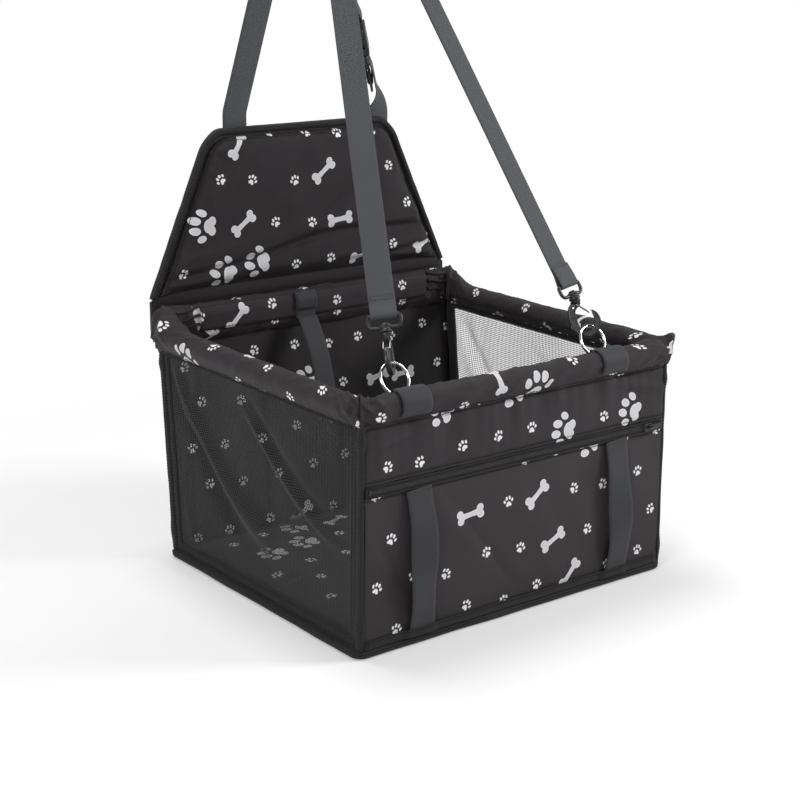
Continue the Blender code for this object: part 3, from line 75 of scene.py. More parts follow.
class Num:
    # One number of a material. Plain arithmetic on it adds the Math nodes.
    def __init__(self, tree, socket):
        self.tree = tree
        self.socket = socket

    def math(self, operation, *parts):
        node = self.tree.nodes.new("ShaderNodeMath")
        node.operation = operation
        for entry, part in zip(node.inputs, parts):
            if isinstance(part, Num):
                self.tree.links.new(part.socket, entry)
            else:
                entry.default_value = part
        return Num(self.tree, node.outputs[0])

    def __add__(self, other):
        return self.math("ADD", self, other)

    def __sub__(self, other):
        return self.math("SUBTRACT", self, other)

    def __rsub__(self, other):
        return self.math("SUBTRACT", other, self)

    def __mul__(self, other):
        return self.math("MULTIPLY", self, other)

    def __truediv__(self, other):
        return self.math("DIVIDE", self, other)

    def __pow__(self, other):
        return self.math("POWER", self, other)

    def __abs__(self):
        return self.math("ABSOLUTE", self)

    __radd__ = __add__
    __rmul__ = __mul__

    def sin(self):
        return self.math("SINE", self)

    def cos(self):
        return self.math("COSINE", self)

    def floor(self):
        return self.math("FLOOR", self)

    def wrapped(self, span):
        return self.math("FLOORED_MODULO", self, span)

    def least(self, other):
        return self.math("MINIMUM", self, other)

    def most(self, other):
        return self.math("MAXIMUM", self, other)

    def below(self, limit):
        return self.math("LESS_THAN", self, limit)

    def clamped(self):
        return self.most(0.0).least(1.0)


class Finish:
    # One material. node() takes a node's type, its settings and the values or links of its sockets.
    def __init__(self, name, roughness=0.7, metallic=0.0):
        self.material = bpy.data.materials.new(name)
        self.material.use_nodes = True
        self.tree = self.material.node_tree
        self.shader = self.tree.nodes["Principled BSDF"]
        self.shader.inputs["Roughness"].default_value = roughness
        self.shader.inputs["Metallic"].default_value = metallic

    def feed(self, entry, value):
        if isinstance(value, Num):
            value = value.socket
        if isinstance(value, bpy.types.NodeSocket):
            self.tree.links.new(value, entry)
        else:
            entry.default_value = value

    def node(self, kind, settings=None, values=None):
        made = self.tree.nodes.new("ShaderNode" + kind)
        for key, value in (settings or {}).items():
            setattr(made, key, value)
        for key, value in (values or {}).items():
            self.feed(made.inputs[key], value)
        return made

    def place(self, source):
        # Where a point is: on the piece's own flat cloth, or in the object
        if source == "flat":
            return self.node("UVMap", {"uv_map": "flat"}).outputs["UV"]
        return self.node("TexCoord").outputs["Object"]

    def axes(self, vector):
        parts = self.node("SeparateXYZ", values={0: vector})
        return [Num(self.tree, parts.outputs[i]) for i in range(3)]

    def joined(self, x, y, z=0.0):
        return self.node("CombineXYZ", values={0: x, 1: y, 2: z}).outputs[0]

    def blotches(self, vector, scale, detail=2.0):
        made = self.node("TexNoise", values={"Vector": vector, "Scale": scale, "Detail": detail})
        return Num(self.tree, made.outputs[0])

    def mix(self, factor, first, second):
        made = self.node("Mix", {"data_type": "RGBA"}, {0: factor, 6: first, 7: second})
        return made.outputs[2]

    def set(self, **values):
        for key, value in values.items():
            self.feed(self.shader.inputs[key], value)

    def bump(self, height, depth):
        made = self.node("Bump", values={"Height": height, "Distance": depth, "Strength": 1.0})
        self.feed(self.shader.inputs["Normal"], made.outputs["Normal"])


def grey(level):
    return (level, level, level, 1.0)


# The printed cloth: one paw or bone in each square of a staggered layout, turned and shifted at random

printed = {
    "square": 0.0455,
    "bigPaw": 0.0195,
    "smallPaw": 0.0068,
    "bone": 0.0172,
    "boneShare": 0.16,  # of all motifs, and a paw is big up to the big share
    "bigShare": 0.25,
    "shift": 0.26,
    "edge": 0.0006,
    "fade": 0.0002,
    "black": (0.0160, 0.0118, 0.0148, 1.0),
    "dusty": (0.0240, 0.0190, 0.0228, 1.0),
    "fill": (0.70, 0.695, 0.72, 1.0),
    "rim": (0.90, 0.895, 0.91, 1.0),
    "weave": 0.00062,
}


def roundSpot(x, y, at, radii):
    # About how far a point is outside an oval, as a share of the motif's size
    across = (x - at[0]) / radii[0]
    up = (y - at[1]) / radii[1]
    return ((across * across + up * up) ** 0.5 - 1) * min(radii)


# Ovals of a paw and a bone: middle and radii, as shares of the motif's size
ovals = {
    "pad": ((0.0, -0.30), (0.38, 0.32)),
    "lobe": ((0.25, -0.50), (0.27, 0.24)),
    "innerToe": ((0.27, 0.52), (0.215, 0.32)),
    "outerToe": ((0.70, -0.09), (0.205, 0.28)),
    "knob": ((0.72, 0.19), (0.25, 0.23)),
}


def pawShape(x, y):
    side = abs(x)
    pad = roundSpot(x, y, *ovals["pad"])
    lobe = roundSpot(side, y, *ovals["lobe"])
    inner = roundSpot(side, y, *ovals["innerToe"])
    outer = roundSpot(side, y - side * 0.30, *ovals["outerToe"])
    return pad.least(lobe), inner.least(outer)


def boneShape(x, y):
    side, up = abs(x), abs(y)
    shaft = (up - 0.15 - side * 0.06).most(side - 0.74)
    return roundSpot(side, up, *ovals["knob"]).least(shaft)


def printOver(finish, x, y, seed):
    # Gives how much of the fill and how much of the paler edge there is at a point
    p = printed
    row = (y / p["square"]).floor()
    along = x / p["square"] + row.wrapped(2.0) * 0.5
    column = along.floor()
    square = finish.joined(column, row, seed)
    spot = finish.node("TexWhiteNoise", {"noise_dimensions": "3D"}, {"Vector": square})
    turn, nudge, lift = finish.axes(spot.outputs["Color"])
    pick = Num(finish.tree, spot.outputs["Value"])
    across = (along - column - 0.5 - (nudge - 0.5) * p["shift"]) * p["square"]
    up = (y / p["square"] - row - 0.5 - (lift - 0.5) * p["shift"]) * p["square"]
    isBone = pick.below(p["boneShare"])
    isBig = pick.below(p["bigShare"])
    angle = turn * (2 * math.pi)
    angle = angle + (pick * 3.0 - 1.9 - angle) * (1 - isBig)
    c, s = angle.cos(), angle.sin()
    turnedX = across * c + up * s
    turnedY = up * c - across * s
    size = isBig * (p["bigPaw"] - p["smallPaw"]) + p["smallPaw"]
    pad, toes = pawShape(turnedX / size, turnedY / size)
    paw = pad.least(toes) * size
    bone = boneShape(turnedX / p["bone"], turnedY / p["bone"]) * p["bone"]
    reach = bone * isBone + paw * (1 - isBone)
    inside = (reach * (-1 / p["fade"])).clamped()
    edge = inside * (1 - ((reach + p["edge"]) * (-1 / p["fade"])).clamped())
    return inside, edge.most(inside * (1 - isBig))  # small motifs are all pale edge


def weaveOver(x, y, pitch):
    # Threads that pass over and under each other, 0 to 1
    turn = 2 * math.pi / pitch
    return (x * turn).sin() * (y * turn).sin() * 0.5 + 0.5


def printedCloth(name, source="flat", plane="XY", seed=0.0, motifs=1.0, tone=1.0, weave=0.00014):
    finish = Finish(name, roughness=0.62)
    place = finish.place(source)
    axes = finish.axes(place)
    x, y = axes["XYZ".index(plane[0])], axes["XYZ".index(plane[1])]
    inside, edge = printOver(finish, x, y, seed)
    inside = inside * motifs
    worn = finish.blotches(place, 14.0, 3.0)
    thread = weaveOver(x, y, printed["weave"])
    dark, dusty = (tuple(level * tone for level in printed[key][:3]) + (1,) for key in ("black", "dusty"))
    black = finish.mix((worn * 1.6 - 0.3).clamped(), dark, dusty)
    ink = finish.mix(edge, printed["fill"], printed["rim"])
    colour = finish.mix(inside * (0.94 - thread * 0.10), black, ink)
    finish.set(**{"Base Color": colour, "Roughness": 0.50 + worn * 0.10 - inside * 0.06})
    fine = finish.blotches(place, 420.0, 2.0)
    finish.bump(thread + fine * 0.6, weave)
    finish.shader.inputs["Specular IOR Level"].default_value = 0.16 + 0.12 * tone
    finish.shader.inputs["Sheen Weight"].default_value = 0.05
    return finish.material


def plainCloth(name, level, pitch=0.0009, source="flat", roughness=0.78, depth=0.00016):
    # Black tape and binding: a close weave with fine ribs across it
    finish = Finish(name, roughness=roughness)
    place = finish.place(source)
    x, y, z = finish.axes(place)
    if source == "flat":
        thread = weaveOver(x, y, pitch)
    else:
        thread = weaveOver(x + y, z + y * 0.7, pitch)
    worn = finish.blotches(place, 22.0, 3.0)
    tint = (level * 1.03, level * 0.98, level * 1.02, 1)
    colour = finish.mix((worn * 1.4 - 0.2).clamped(), tuple(part * 0.8 for part in tint[:3]) + (1,), tint)
    finish.set(**{"Base Color": colour, "Roughness": roughness - 0.06 + worn * 0.12})
    finish.bump(thread + finish.blotches(place, 500.0) * 0.5, depth)
    finish.shader.inputs["Specular IOR Level"].default_value = 0.30
    finish.shader.inputs["Sheen Weight"].default_value = 0.05
    return finish.material


def webbingCloth(name, level, ribPitch=0.0016):
    # Ribs lie across the webbing in slanted steps
    finish = Finish(name, roughness=0.66)
    place = finish.place("flat")
    across, along, _ = finish.axes(place)
    warp = across / 0.0021
    step = warp.floor().wrapped(2.0)
    rib = ((along / ribPitch + step * 0.5) * (2 * math.pi)).sin() * 0.5 + 0.5
    valley = ((warp - warp.floor()) * (2 * math.pi)).cos() * 0.5 + 0.5
    worn = finish.blotches(place, 30.0, 3.0)
    fluff = finish.blotches(place, 900.0, 2.0)
    height = rib * 0.55 - valley * 0.30 + fluff * 0.35
    tone = (worn * 0.7 + rib * 0.22 + fluff * 0.15 - 0.12).clamped()
    low = (level * 0.80, level * 0.83, level * 0.92, 1)
    high = (level * 1.22, level * 1.26, level * 1.38, 1)
    colour = finish.mix(tone, low, high)
    finish.set(**{"Base Color": colour, "Roughness": 0.60 + worn * 0.14})
    finish.bump(height, 0.00030)
    finish.shader.inputs["Specular IOR Level"].default_value = 0.35
    finish.shader.inputs["Sheen Weight"].default_value = 0.06
    return finish.material


def plasticFinish(name, level, roughness):
    finish = Finish(name, roughness=roughness)
    place = finish.place("object")
    grain = finish.blotches(place, 900.0, 2.0)
    worn = finish.blotches(place, 60.0, 4.0)
    colour = finish.mix((worn * 1.8 - 0.5).clamped(), grey(level), grey(level * 1.5))
    finish.set(**{"Base Color": colour, "Roughness": roughness - 0.05 + worn * 0.16})
    finish.bump(grain, 0.00005)
    return finish.material


def chromeFinish(name, tone=1.0):
    finish = Finish(name, roughness=0.12, metallic=1.0)
    place = finish.place("object")
    streaks = finish.node("Mapping", values={"Vector": place, "Scale": (400.0, 60.0, 400.0)}).outputs[0]
    haze = finish.blotches(place, 150.0, 3.0)
    scratch = finish.blotches(streaks, 3.0, 4.0)
    finish.set(**{"Base Color": finish.mix(haze, grey(0.50 * tone), grey(0.67 * tone))})
    finish.set(Roughness=0.07 + haze * 0.10 + scratch * 0.06)
    finish.bump(scratch, 0.00002)
    return finish.material


def speckledFinish(name, colours, scale, detail, roughness, roughShare, depth):
    # One fine pattern varies the colour, the gloss and the surface
    finish = Finish(name)
    speckle = finish.blotches(finish.place("object"), scale, detail)
    colour = finish.mix(speckle, *colours)
    finish.set(**{"Base Color": colour, "Roughness": speckle * roughShare + roughness})
    finish.bump(speckle, depth)
    return finish.material


frontPrint = printedCloth("printed_cloth_front", seed=3.0)
# The upper front cloth is the front cloth at a lower tone: painted shade for the shadow that the sleeve casts
# on it
upperShadedPrint = printedCloth("printed_cloth_upper_painted_shade", seed=3.0, tone=0.80)
sleevePrint = printedCloth("printed_cloth_rim", seed=7.0, tone=0.82)
rearPrint = printedCloth("printed_cloth_rear", seed=11.0, tone=0.65)
panelPrint = printedCloth("printed_cloth_panel", "object", "XZ", seed=19.0, tone=0.65)
padPrint = printedCloth("printed_cloth_pad", "object", "XY", seed=23.0)
plainPrint = printedCloth("printed_cloth_bare", seed=5.0, motifs=0.0, tone=0.65)
tapeCloth = plainCloth("black_binding_tape", 0.012, 0.0016)
liningCloth = plainCloth("black_lining", 0.014, 0.0007)
threadBlack = plainCloth("black_thread", 0.003, 0.0005, "object", 0.85)
threadGrey = plainCloth("grey_thread", 0.045, 0.0005, "object", 0.55)
webbing = webbingCloth("grey_webbing", 0.056)
# The same webbing at a lower level: painted shade for the front bands, ring tabs, tether and its fold
shadedWebbing = webbingCloth("grey_webbing_painted_shade", 0.024)
netThread = speckledFinish("net_thread", (grey(0.020), grey(0.056)), 1500.0, 2.0, 0.45, 0.25, 0.00006)
blackPlastic = plasticFinish("black_plastic", 0.012, 0.36)
coilPlastic = plasticFinish("coil_plastic", 0.010, 0.30)
chrome = chromeFinish("chrome")
springWire = chromeFinish("spring_wire", 0.5)
boardTones = ((0.014, 0.013, 0.014, 1), (0.040, 0.038, 0.040, 1))
cardboard = speckledFinish("stiff_board", boardTones, 260.0, 5.0, 0.85, 0.0, 0.0002)
tubeTones = ((0.66, 0.66, 0.64, 1), (0.78, 0.78, 0.76, 1))
whiteTube = speckledFinish("rim_tube_plastic", tubeTones, 80.0, 3.0, 0.38, 0.18, 0.00006)
print("materials made")


# Ways to make a piece


def clampTo(value, low, high):
    return min(max(value, low), high)


def ease(t):
    t = clampTo(t, 0.0, 1.0)
    return t * t * (3 - 2 * t)


def arch(t):
    return math.sin(math.pi * clampTo(t, 0.0, 1.0))


def near(value, middle, width):
    # 1 at the middle, fading out over about the width
    return math.exp(-(((value - middle) / width) ** 2))


def folds(x, y, seed, size):
    # Soft folds of cloth, about -1 to 1
    coarse = noise.noise(Vector((x / size, y / size, seed)))
    fine = noise.noise(Vector((x / size * 2.3, y / size * 2.3, seed + 9)))
    return coarse + 0.4 * fine


def creases(x, y, seed, size):
    # Narrow ridges between flats, 0 to 1
    bend = noise.noise(Vector((x / size, y / size, seed)))
    return (1 - min(1.0, abs(bend) * 4.5)) ** 2


def shares(count):
    # Even steps from 0 to 1
    return [k / count for k in range(count + 1)]


def roundAngles(count):
    return [2 * math.pi * n / count for n in range(count)]


def squaredOff(angle, power):
    # A point of a circle that is flattened on four sides
    c, s = math.cos(angle), math.sin(angle)
    return math.copysign(abs(c) ** power, c), math.copysign(abs(s) ** power, s)


def bentAt(start, corner, end, t):
    return (1 - t) ** 2 * start + 2 * t * (1 - t) * corner + t**2 * end


def bowedAt(start, first, second, end, t):
    lead = (1 - t) ** 3 * start + 3 * t * (1 - t) ** 2 * first
    return lead + 3 * t**2 * (1 - t) * second + t**3 * end


def throughCorners(corners, steps=8):
    # Pairs of numbers along straight lines from corner to corner
    found = []
    for (x0, y0), (x1, y1) in zip(corners, corners[1:]):
        for k in range(steps):
            found.append((x0 + (x1 - x0) * k / steps, y0 + (y1 - y0) * k / steps))
    return found + [corners[-1]]


def newPiece(name, mesh, paint):
    mesh.materials.clear()
    mesh.materials.append(paint)
    mesh.shade_smooth()
    piece = bpy.data.objects.new(name, mesh)
    scene.collection.objects.link(piece)
    return piece


def fromFaces(name, points, faces, paint, flats=None, tidy=True):
    # flats gives each corner of each face its place on the flat cloth
    mesh = bpy.data.meshes.new(name)
    mesh.from_pydata([tuple(point) for point in points], [], faces)
    if flats:
        layer = mesh.uv_layers.new(name="flat")
        for entry, flat in zip(layer.data, [corner for face in flats for corner in face]):
            entry.uv = flat
    if tidy:
        bm = bmesh.new()
        bm.from_mesh(mesh)
        bmesh.ops.recalc_face_normals(bm, faces=bm.faces)
        bm.to_mesh(mesh)
        bm.free()
    return newPiece(name, mesh, paint)


def settled(piece):
    # The modifiers' result becomes the piece's own mesh
    bpy.context.view_layer.update()
    depsgraph = bpy.context.evaluated_depsgraph_get()
    evaluated = piece.evaluated_get(depsgraph)
    mesh = bpy.data.meshes.new_from_object(evaluated, preserve_all_data_layers=True, depsgraph=depsgraph)
    old = piece.data
    piece.modifiers.clear()
    piece.data = mesh
    bpy.data.meshes.remove(old)
    mesh.name = piece.name
    return piece


def clothGrid(name, columns, rows, placeOf, flatOf, paint, thickness):
    # A sheet through placeOf(u, v), thickened, with its place on the flat cloth from flatOf(u, v)
    points, faces, flats = [], [], []
    for j in range(rows + 1):
        for i in range(columns + 1):
            points.append(placeOf(i / columns, j / rows))
    for j in range(rows):
        for i in range(columns):
            a = j * (columns + 1) + i
            faces.append((a, a + 1, a + columns + 2, a + columns + 1))
            corners = ((i, j), (i + 1, j), (i + 1, j + 1), (i, j + 1))
            flats.append([flatOf(p / columns, q / rows) for p, q in corners])
    piece = fromFaces(name, points, faces, paint, flats, tidy=False)
    solid = piece.modifiers.new("thickness", "SOLIDIFY")
    solid.thickness = thickness
    solid.offset = 0.0
    return settled(piece)


def flatAt(width, height, x=0.0, y=0.0):
    # Where a sheet lies on the flat cloth, from its shares across and up
    return lambda u, v: (u * width + x, v * height + y)


def loft(name, loops, paint, around=None, ring=False):
    # Joins loops of points. around gives each point's place across the flat cloth, and runs along it add up.
    count = len(loops[0])
    if around is None:
        around = [0.0]
        for i in range(count):
            around.append(around[-1] + (loops[0][(i + 1) % count] - loops[0][i]).length)
    middles = [sum(loop, Vector()) / count for loop in loops]
    along = [0.0]
    for k in range(1, len(loops)):
        along.append(along[-1] + (middles[k] - middles[k - 1]).length)
    if ring:
        along.append(along[-1] + (middles[0] - middles[-1]).length)
    points = [point for loop in loops for point in loop]
    faces, flats = [], []
    for k in range(len(loops) if ring else len(loops) - 1):
        m = (k + 1) % len(loops)
        for i in range(count):
            j = (i + 1) % count
            faces.append((k * count + i, k * count + j, m * count + j, m * count + i))
            low, high = around[i], around[i + 1]
            flats.append([(low, along[k]), (high, along[k]), (high, along[k + 1]), (low, along[k + 1])])
    if not ring:
        for k in (0, len(loops) - 1):
            faces.append(tuple(k * count + i for i in range(count)))
            flats.append([(around[i], along[k]) for i in range(count)])
    return fromFaces(name, points, faces, paint, flats)


def joined(name, pieces):
    # Several closed pieces become one mesh
    bm = bmesh.new()
    paints = []
    for piece in pieces:
        first = len(bm.faces)
        bm.from_mesh(piece.data)
        bm.faces.ensure_lookup_table()
        paint = piece.data.materials[0]
        if paint not in paints:
            paints.append(paint)
        for face in bm.faces[first:]:
            face.material_index = paints.index(paint)
    mesh = bpy.data.meshes.new(name)
    bm.to_mesh(mesh)
    bm.free()
    for piece in pieces:
        bpy.data.objects.remove(piece, do_unlink=True)
    piece = bpy.data.objects.new(name, mesh)
    for paint in paints:
        mesh.materials.append(paint)
    scene.collection.objects.link(piece)
    return piece


def directions(points, closed=False):
    found = []
    count = len(points)
    for k in range(count):
        before = points[k - 1] if closed or k > 0 else points[k]
        after = points[(k + 1) % count] if closed or k < count - 1 else points[k]
        found.append((after - before).normalized())
    return found


def rod(name, points, radius, paint, sides=12, closed=False, flatten=1.0, up=None):
    # A round bar along points. flatten makes it thinner along its second direction.
    loops = []
    side = up
    for point, along in zip(points, directions(points, closed)):
        if side is None:
            side = along.orthogonal()
        side = (side - along * side.dot(along)).normalized()
        other = along.cross(side)
        spokes = [math.cos(a) * side + flatten * math.sin(a) * other for a in roundAngles(sides)]
        loops.append([point + radius * spoke for spoke in spokes])
    return loft(name, loops, paint, ring=closed)


def roundedPath(points, bends, steps, closed=False):
    # The same corners with each one rounded, beginning its own bend before it
    found = []
    count = len(points)
    for k, (corner, bend) in enumerate(zip(points, bends)):
        if not closed and k in (0, count - 1):
            found.append(corner)
            continue
        before, after = points[k - 1], points[(k + 1) % count]
        start = corner + (before - corner).normalized() * bend
        end = corner + (after - corner).normalized() * bend
        found += [bentAt(start, corner, end, t) for t in shares(steps)]
    return found


def smoothPath(points, steps):
    chain = [2 * points[0] - points[1]] + list(points) + [2 * points[-1] - points[-2]]
    found = []
    for k in range(1, len(chain) - 2):
        a, b, c, d = chain[k - 1 : k + 3]
        for n in range(steps):
            t = n / steps
            square, cube = 2 * a - 5 * b + 4 * c - d, 3 * b - a - 3 * c + d
            found.append((2 * b + (c - a) * t + square * t**2 + cube * t**3) / 2)
    found.append(points[-1])
    return found


def spaced(points, step):
    # The same line with points at an even distance
    found = [points[0].copy()]
    left = step
    for a, b in zip(points, points[1:]):
        length = (b - a).length
        done = 0.0
        while length - done >= left:
            done += left
            found.append(a.lerp(b, done / length))
            left = step
        left -= length - done
    found.append(points[-1].copy())
    return found


def strap(name, points, sides, width, thickness, paint):
    # Webbing along points, with its width along the given directions and soft edges
    half, flat = width / 2, thickness / 2
    columns = 8
    profile = []
    for n in range(columns + 1):
        across = (2 * n / columns - 1) * (half - flat * 0.6)
        lift = flat * (0.90 if 0 < n < columns else 0.86)
        profile.append((across, lift))
    section = profile + [(half, 0.0)] + [(x, -z) for x, z in reversed(profile)] + [(-half, 0.0)]
    around = [x for x, _ in section] + [-half + 0.0005]
    loops = []
    for point, side, along in zip(points, sides, directions(points)):
        across = (side - along * side.dot(along)).normalized()
        out = along.cross(across)
        loops.append([point + across * x + out * z for x, z in section])
    return loft(name, loops, paint, around=around)


# Stitches, net threads and zip teeth come from Geometry Nodes


def nodeTree(name, numbers):
    tree = bpy.data.node_groups.new(name, "GeometryNodeTree")
    tree.interface.new_socket("Geometry", in_out="INPUT", socket_type="NodeSocketGeometry")
    for label, value in numbers.items():
        entry = tree.interface.new_socket(label, in_out="INPUT", socket_type="NodeSocketFloat")
        entry.default_value = value
    tree.interface.new_socket("Material", in_out="INPUT", socket_type="NodeSocketMaterial")
    tree.interface.new_socket("Geometry", in_out="OUTPUT", socket_type="NodeSocketGeometry")
    tree.nodes.new("NodeGroupInput")
    tree.nodes.new("NodeGroupOutput")
    return tree


def addNode(tree, kind, values=None, settings=None):
    node = tree.nodes.new(kind)
    for key, value in (settings or {}).items():
        setattr(node, key, value)
    for key, value in (values or {}).items():
        if isinstance(value, bpy.types.NodeSocket):
            tree.links.new(value, node.inputs[key])
        else:
            node.inputs[key].default_value = value
    return node


def endTree(tree, geometry):
    source = tree.nodes["Group Input"].outputs
    whole = addNode(tree, "GeometryNodeRealizeInstances", {"Geometry": geometry})
    painted = addNode(
        tree, "GeometryNodeSetMaterial", {"Geometry": whole.outputs[0], "Material": source["Material"]}
    )
    tree.links.new(painted.outputs[0], tree.nodes["Group Output"].inputs[0])
    return tree


def beadTree(name, numbers, rings, long, rotation):
    # A stretched ball at each step of each line. rotation is fixed, or None to follow the line.
    tree = nodeTree(name, numbers)
    source = tree.nodes["Group Input"].outputs
    line = addNode(tree, "GeometryNodeMeshToCurve", {"Mesh": source["Geometry"]})
    steps = {"Curve": line.outputs[0], "Length": source["Pitch"]}
    even = addNode(tree, "GeometryNodeResampleCurve", steps, {"mode": "LENGTH"})
    ball = addNode(tree, "GeometryNodeMeshUVSphere", {"Segments": 6, "Rings": rings, "Radius": 1.0})
    radius = source["Radius"]
    size = addNode(tree, "ShaderNodeCombineXYZ", {0: radius, 1: radius, 2: source[long]})
    bead = addNode(tree, "GeometryNodeTransform", {"Geometry": ball.outputs[0], "Scale": size.outputs[0]})
    if rotation is None:
        heading = addNode(tree, "GeometryNodeInputTangent")
        turned = addNode(
            tree, "FunctionNodeAlignRotationToVector", {"Vector": heading.outputs[0]}, {"axis": "Z"}
        )
        rotation = turned.outputs[0]
    placing = {"Points": even.outputs[0], "Instance": bead.outputs[0], "Rotation": rotation}
    return endTree(tree, addNode(tree, "GeometryNodeInstanceOnPoints", placing).outputs[0])


def threadTree():
    # A round thread along each line
    tree = nodeTree("threads", {"Radius": 0.0003})
    source = tree.nodes["Group Input"].outputs
    line = addNode(tree, "GeometryNodeMeshToCurve", {"Mesh": source["Geometry"]})
    circle = addNode(
        tree, "GeometryNodeCurvePrimitiveCircle", {"Resolution": 4, "Radius": source["Radius"]}
    )
    tube = {"Curve": line.outputs[0], "Profile Curve": circle.outputs[0], "Fill Caps": True}
    return endTree(tree, addNode(tree, "GeometryNodeCurveToMesh", tube).outputs[0])


trees = {
    "stitches": beadTree("stitches", {"Pitch": 0.004, "Length": 0.0028, "Radius": 0.0004}, 4, "Length", None),
    "threads": threadTree(),
    "coilTurns": beadTree(
        "coilTurns", {"Pitch": 0.0014, "Width": 0.0022, "Radius": 0.0006}, 5, "Width", (0.0, 0.25, 0.0)
    ),
}


def alongLines(name, lines, kind, paint, **numbers):
    # Runs one of the trees along lines of points and keeps the plain mesh
    points, edges = [], []
    for line in lines:
        first = len(points)
        points += [tuple(point) for point in line]
        edges += [(first + k, first + k + 1) for k in range(len(line) - 1)]
    mesh = bpy.data.meshes.new(name + "_lines")
    mesh.from_pydata(points, edges, [])
    piece = bpy.data.objects.new(name, mesh)
    modifier = piece.modifiers.new("made", "NODES")
    modifier.node_group = trees[kind]
    for entry in trees[kind].interface.items_tree:
        if entry.in_out == "INPUT" and entry.name in numbers:
            modifier[entry.identifier] = numbers[entry.name]
        if entry.in_out == "INPUT" and entry.name == "Material":
            modifier[entry.identifier] = paint
    scene.collection.objects.link(piece)
    settled(piece)
    piece.data.materials.clear()
    piece.data.materials.append(paint)
    piece.data.polygons.foreach_set("material_index", [0] * len(piece.data.polygons))
    piece.data.shade_smooth()
    return piece


def stitches(name, lines, paint=threadBlack, pitch=0.0040, length=0.0016, radius=0.0005):
    return alongLines(name, lines, "stitches", paint, Pitch=pitch, Length=length, Radius=radius)


# How pieces go with the bodies


def onBody(piece, body, slot, *nodes):
    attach(piece, body)
    if nodes:
        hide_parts(*nodes)
    return piece


def wallPiece(piece, slot, *nodes):
    # Cloth of the walls goes with the car seat and gets a mesh of its own
    onBody(piece, "car_seat", slot, *nodes)
    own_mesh(piece)
    return piece


def wallShare(height):
    return (height - box["wallFoot"]) / (box["wallHead"] - box["wallFoot"])


def wallHeight(share):
    return box["wallFoot"] + (box["wallHead"] - box["wallFoot"]) * share


def sideX(height):
    return box["footX"] + (box["rimSide"] - box["footX"]) * wallShare(height)


def frontY(height):
    return -box["footY"] + (box["rimFront"] + box["footY"]) * wallShare(height)


def rearY(height):
    return box["footY"] + (box["rimRear"] - box["footY"]) * wallShare(height)


def innerFront(height):
    return frontY(height) + 0.0015


def outerFront(height):
    t = max(0.0, (height - box["zipHeight"]) / (box["wallHead"] - box["zipHeight"]))
    return innerFront(height) - 0.005 + 0.0027 * ease(t)


def frontReach(height):
    return sideX(height) - 0.0023


# Front wall: two outer panels, and the wall behind the pocket

front = {
    "thickness": 0.0014,
    "foldDepth": 0.0040,
    "foldSize": 0.075,
    "creaseDepth": 0.0012,
    "creaseSize": 0.085,
    "drapeSize": 0.024,
    "pocketBow": 0.004,
    "upperBow": 0.0015,
    "zipFoot": 0.1555,
    "zipHead": 0.1665,
    "seam": 0.0002,
    "hem": 0.0030,
    "headHem": 0.0046,
    "hemDent": 0.0013,
}
pocketEnd = front["zipFoot"] - box["gap"]


def plainPocket(x, height):
    # The pocket's bowed cloth without its folds, and the point's shares across and up it
    u = (x / frontReach(height) + 1) / 2
    v = (height - box["wallFoot"]) / (pocketEnd - box["wallFoot"])
    return outerFront(height) - front["pocketBow"] * arch(u) * arch(v), u, v


def pocketY(x, height):
    y, u, v = plainPocket(x, height)
    soft = min(1.0, 5 * arch(u)) * (0.35 + 0.65 * arch(v))
    drape = 0.5 + 0.5 * folds(x + height * 0.55, height * 0.30, 3.1, front["foldSize"])
    y += front["foldDepth"] * soft * (clampTo(drape, 0, 1) - 0.25)
    crease = creases(x + height * 0.75, height * 0.10, 8.3, front["creaseSize"])
    y += front["creaseDepth"] * soft * crease
    y += front["hemDent"] * near(height, front["zipFoot"] - front["hem"], 0.0016)
    return y


def upperY(x, height):
    reach = frontReach(height)
    u = (x / reach + 1) / 2
    v = (height - front["zipHead"]) / (box["wallHead"] - front["zipHead"])
    y = outerFront(height) - front["upperBow"] * arch(u) * arch(v)
    drawn = ease((v - 0.15) / 0.85)
    drape = 0.5 + 0.6 * folds(x, height * 0.16, 21.7, front["drapeSize"])
    y += (0.0015 + 0.0042 * drawn) * (clampTo(drape, 0, 1) - 0.72)
    y -= 0.0018 * near(v + 1.6 * abs(u - 0.5) - 1.35, 0.0, 0.10) * arch(v)
    y += front["hemDent"] * near(height, front["zipHead"] + front["hem"], 0.0016)
    y += 0.0011 * near(height, box["wallHead"] - front["headHem"], 0.0014)
    return y


def frontPanel(name, low, high, yOf, columns, rows, shift, cloth):
    def placeOf(u, v):
        height = low + (high - low) * v
        x = (2 * u - 1) * frontReach(height)
        return Vector((x, yOf(x, height), height))

    def flatOf(u, v):
        return ((2 * u - 1) * 0.192 + shift[0], low + (high - low) * v + shift[1])

    return clothGrid(name, columns, rows, placeOf, flatOf, cloth, front["thickness"])


pocketHead, upperFoot = front["zipFoot"] - front["seam"], front["zipHead"] + front["seam"]
pocket = frontPanel(
    "front_pocket_cloth", box["wallFoot"], pocketHead, pocketY, 150, 110, (0.0, 0.0), frontPrint
)
wallPiece(pocket, "printed_cloth", "front_pocket_panel")
# Its cloth is darker than the pocket's: painted shade under the sleeve
upper = frontPanel(
    "front_upper_cloth", upperFoot, box["wallHead"], upperY, 160, 56, (0.011, 0.02), upperShadedPrint
)
wallPiece(upper, "printed_cloth", "front_upper_panel")


def innerWallPlace(u, v):
    height = wallHeight(v)
    x = (2 * u - 1) * frontReach(height)
    ripple = 0.0008 * folds(x, height, 33.0, 0.05) * arch(v) * min(1, 4 * arch(u))
    return Vector((x, innerFront(height) + ripple, height))


innerFlat = flatAt(0.383, 0.216, 0.03, 0.4)
innerWall = clothGrid("front_inner_cloth", 70, 36, innerWallPlace, innerFlat, rearPrint, 0.0016)
wallPiece(innerWall, "printed_cloth", "front_wall")


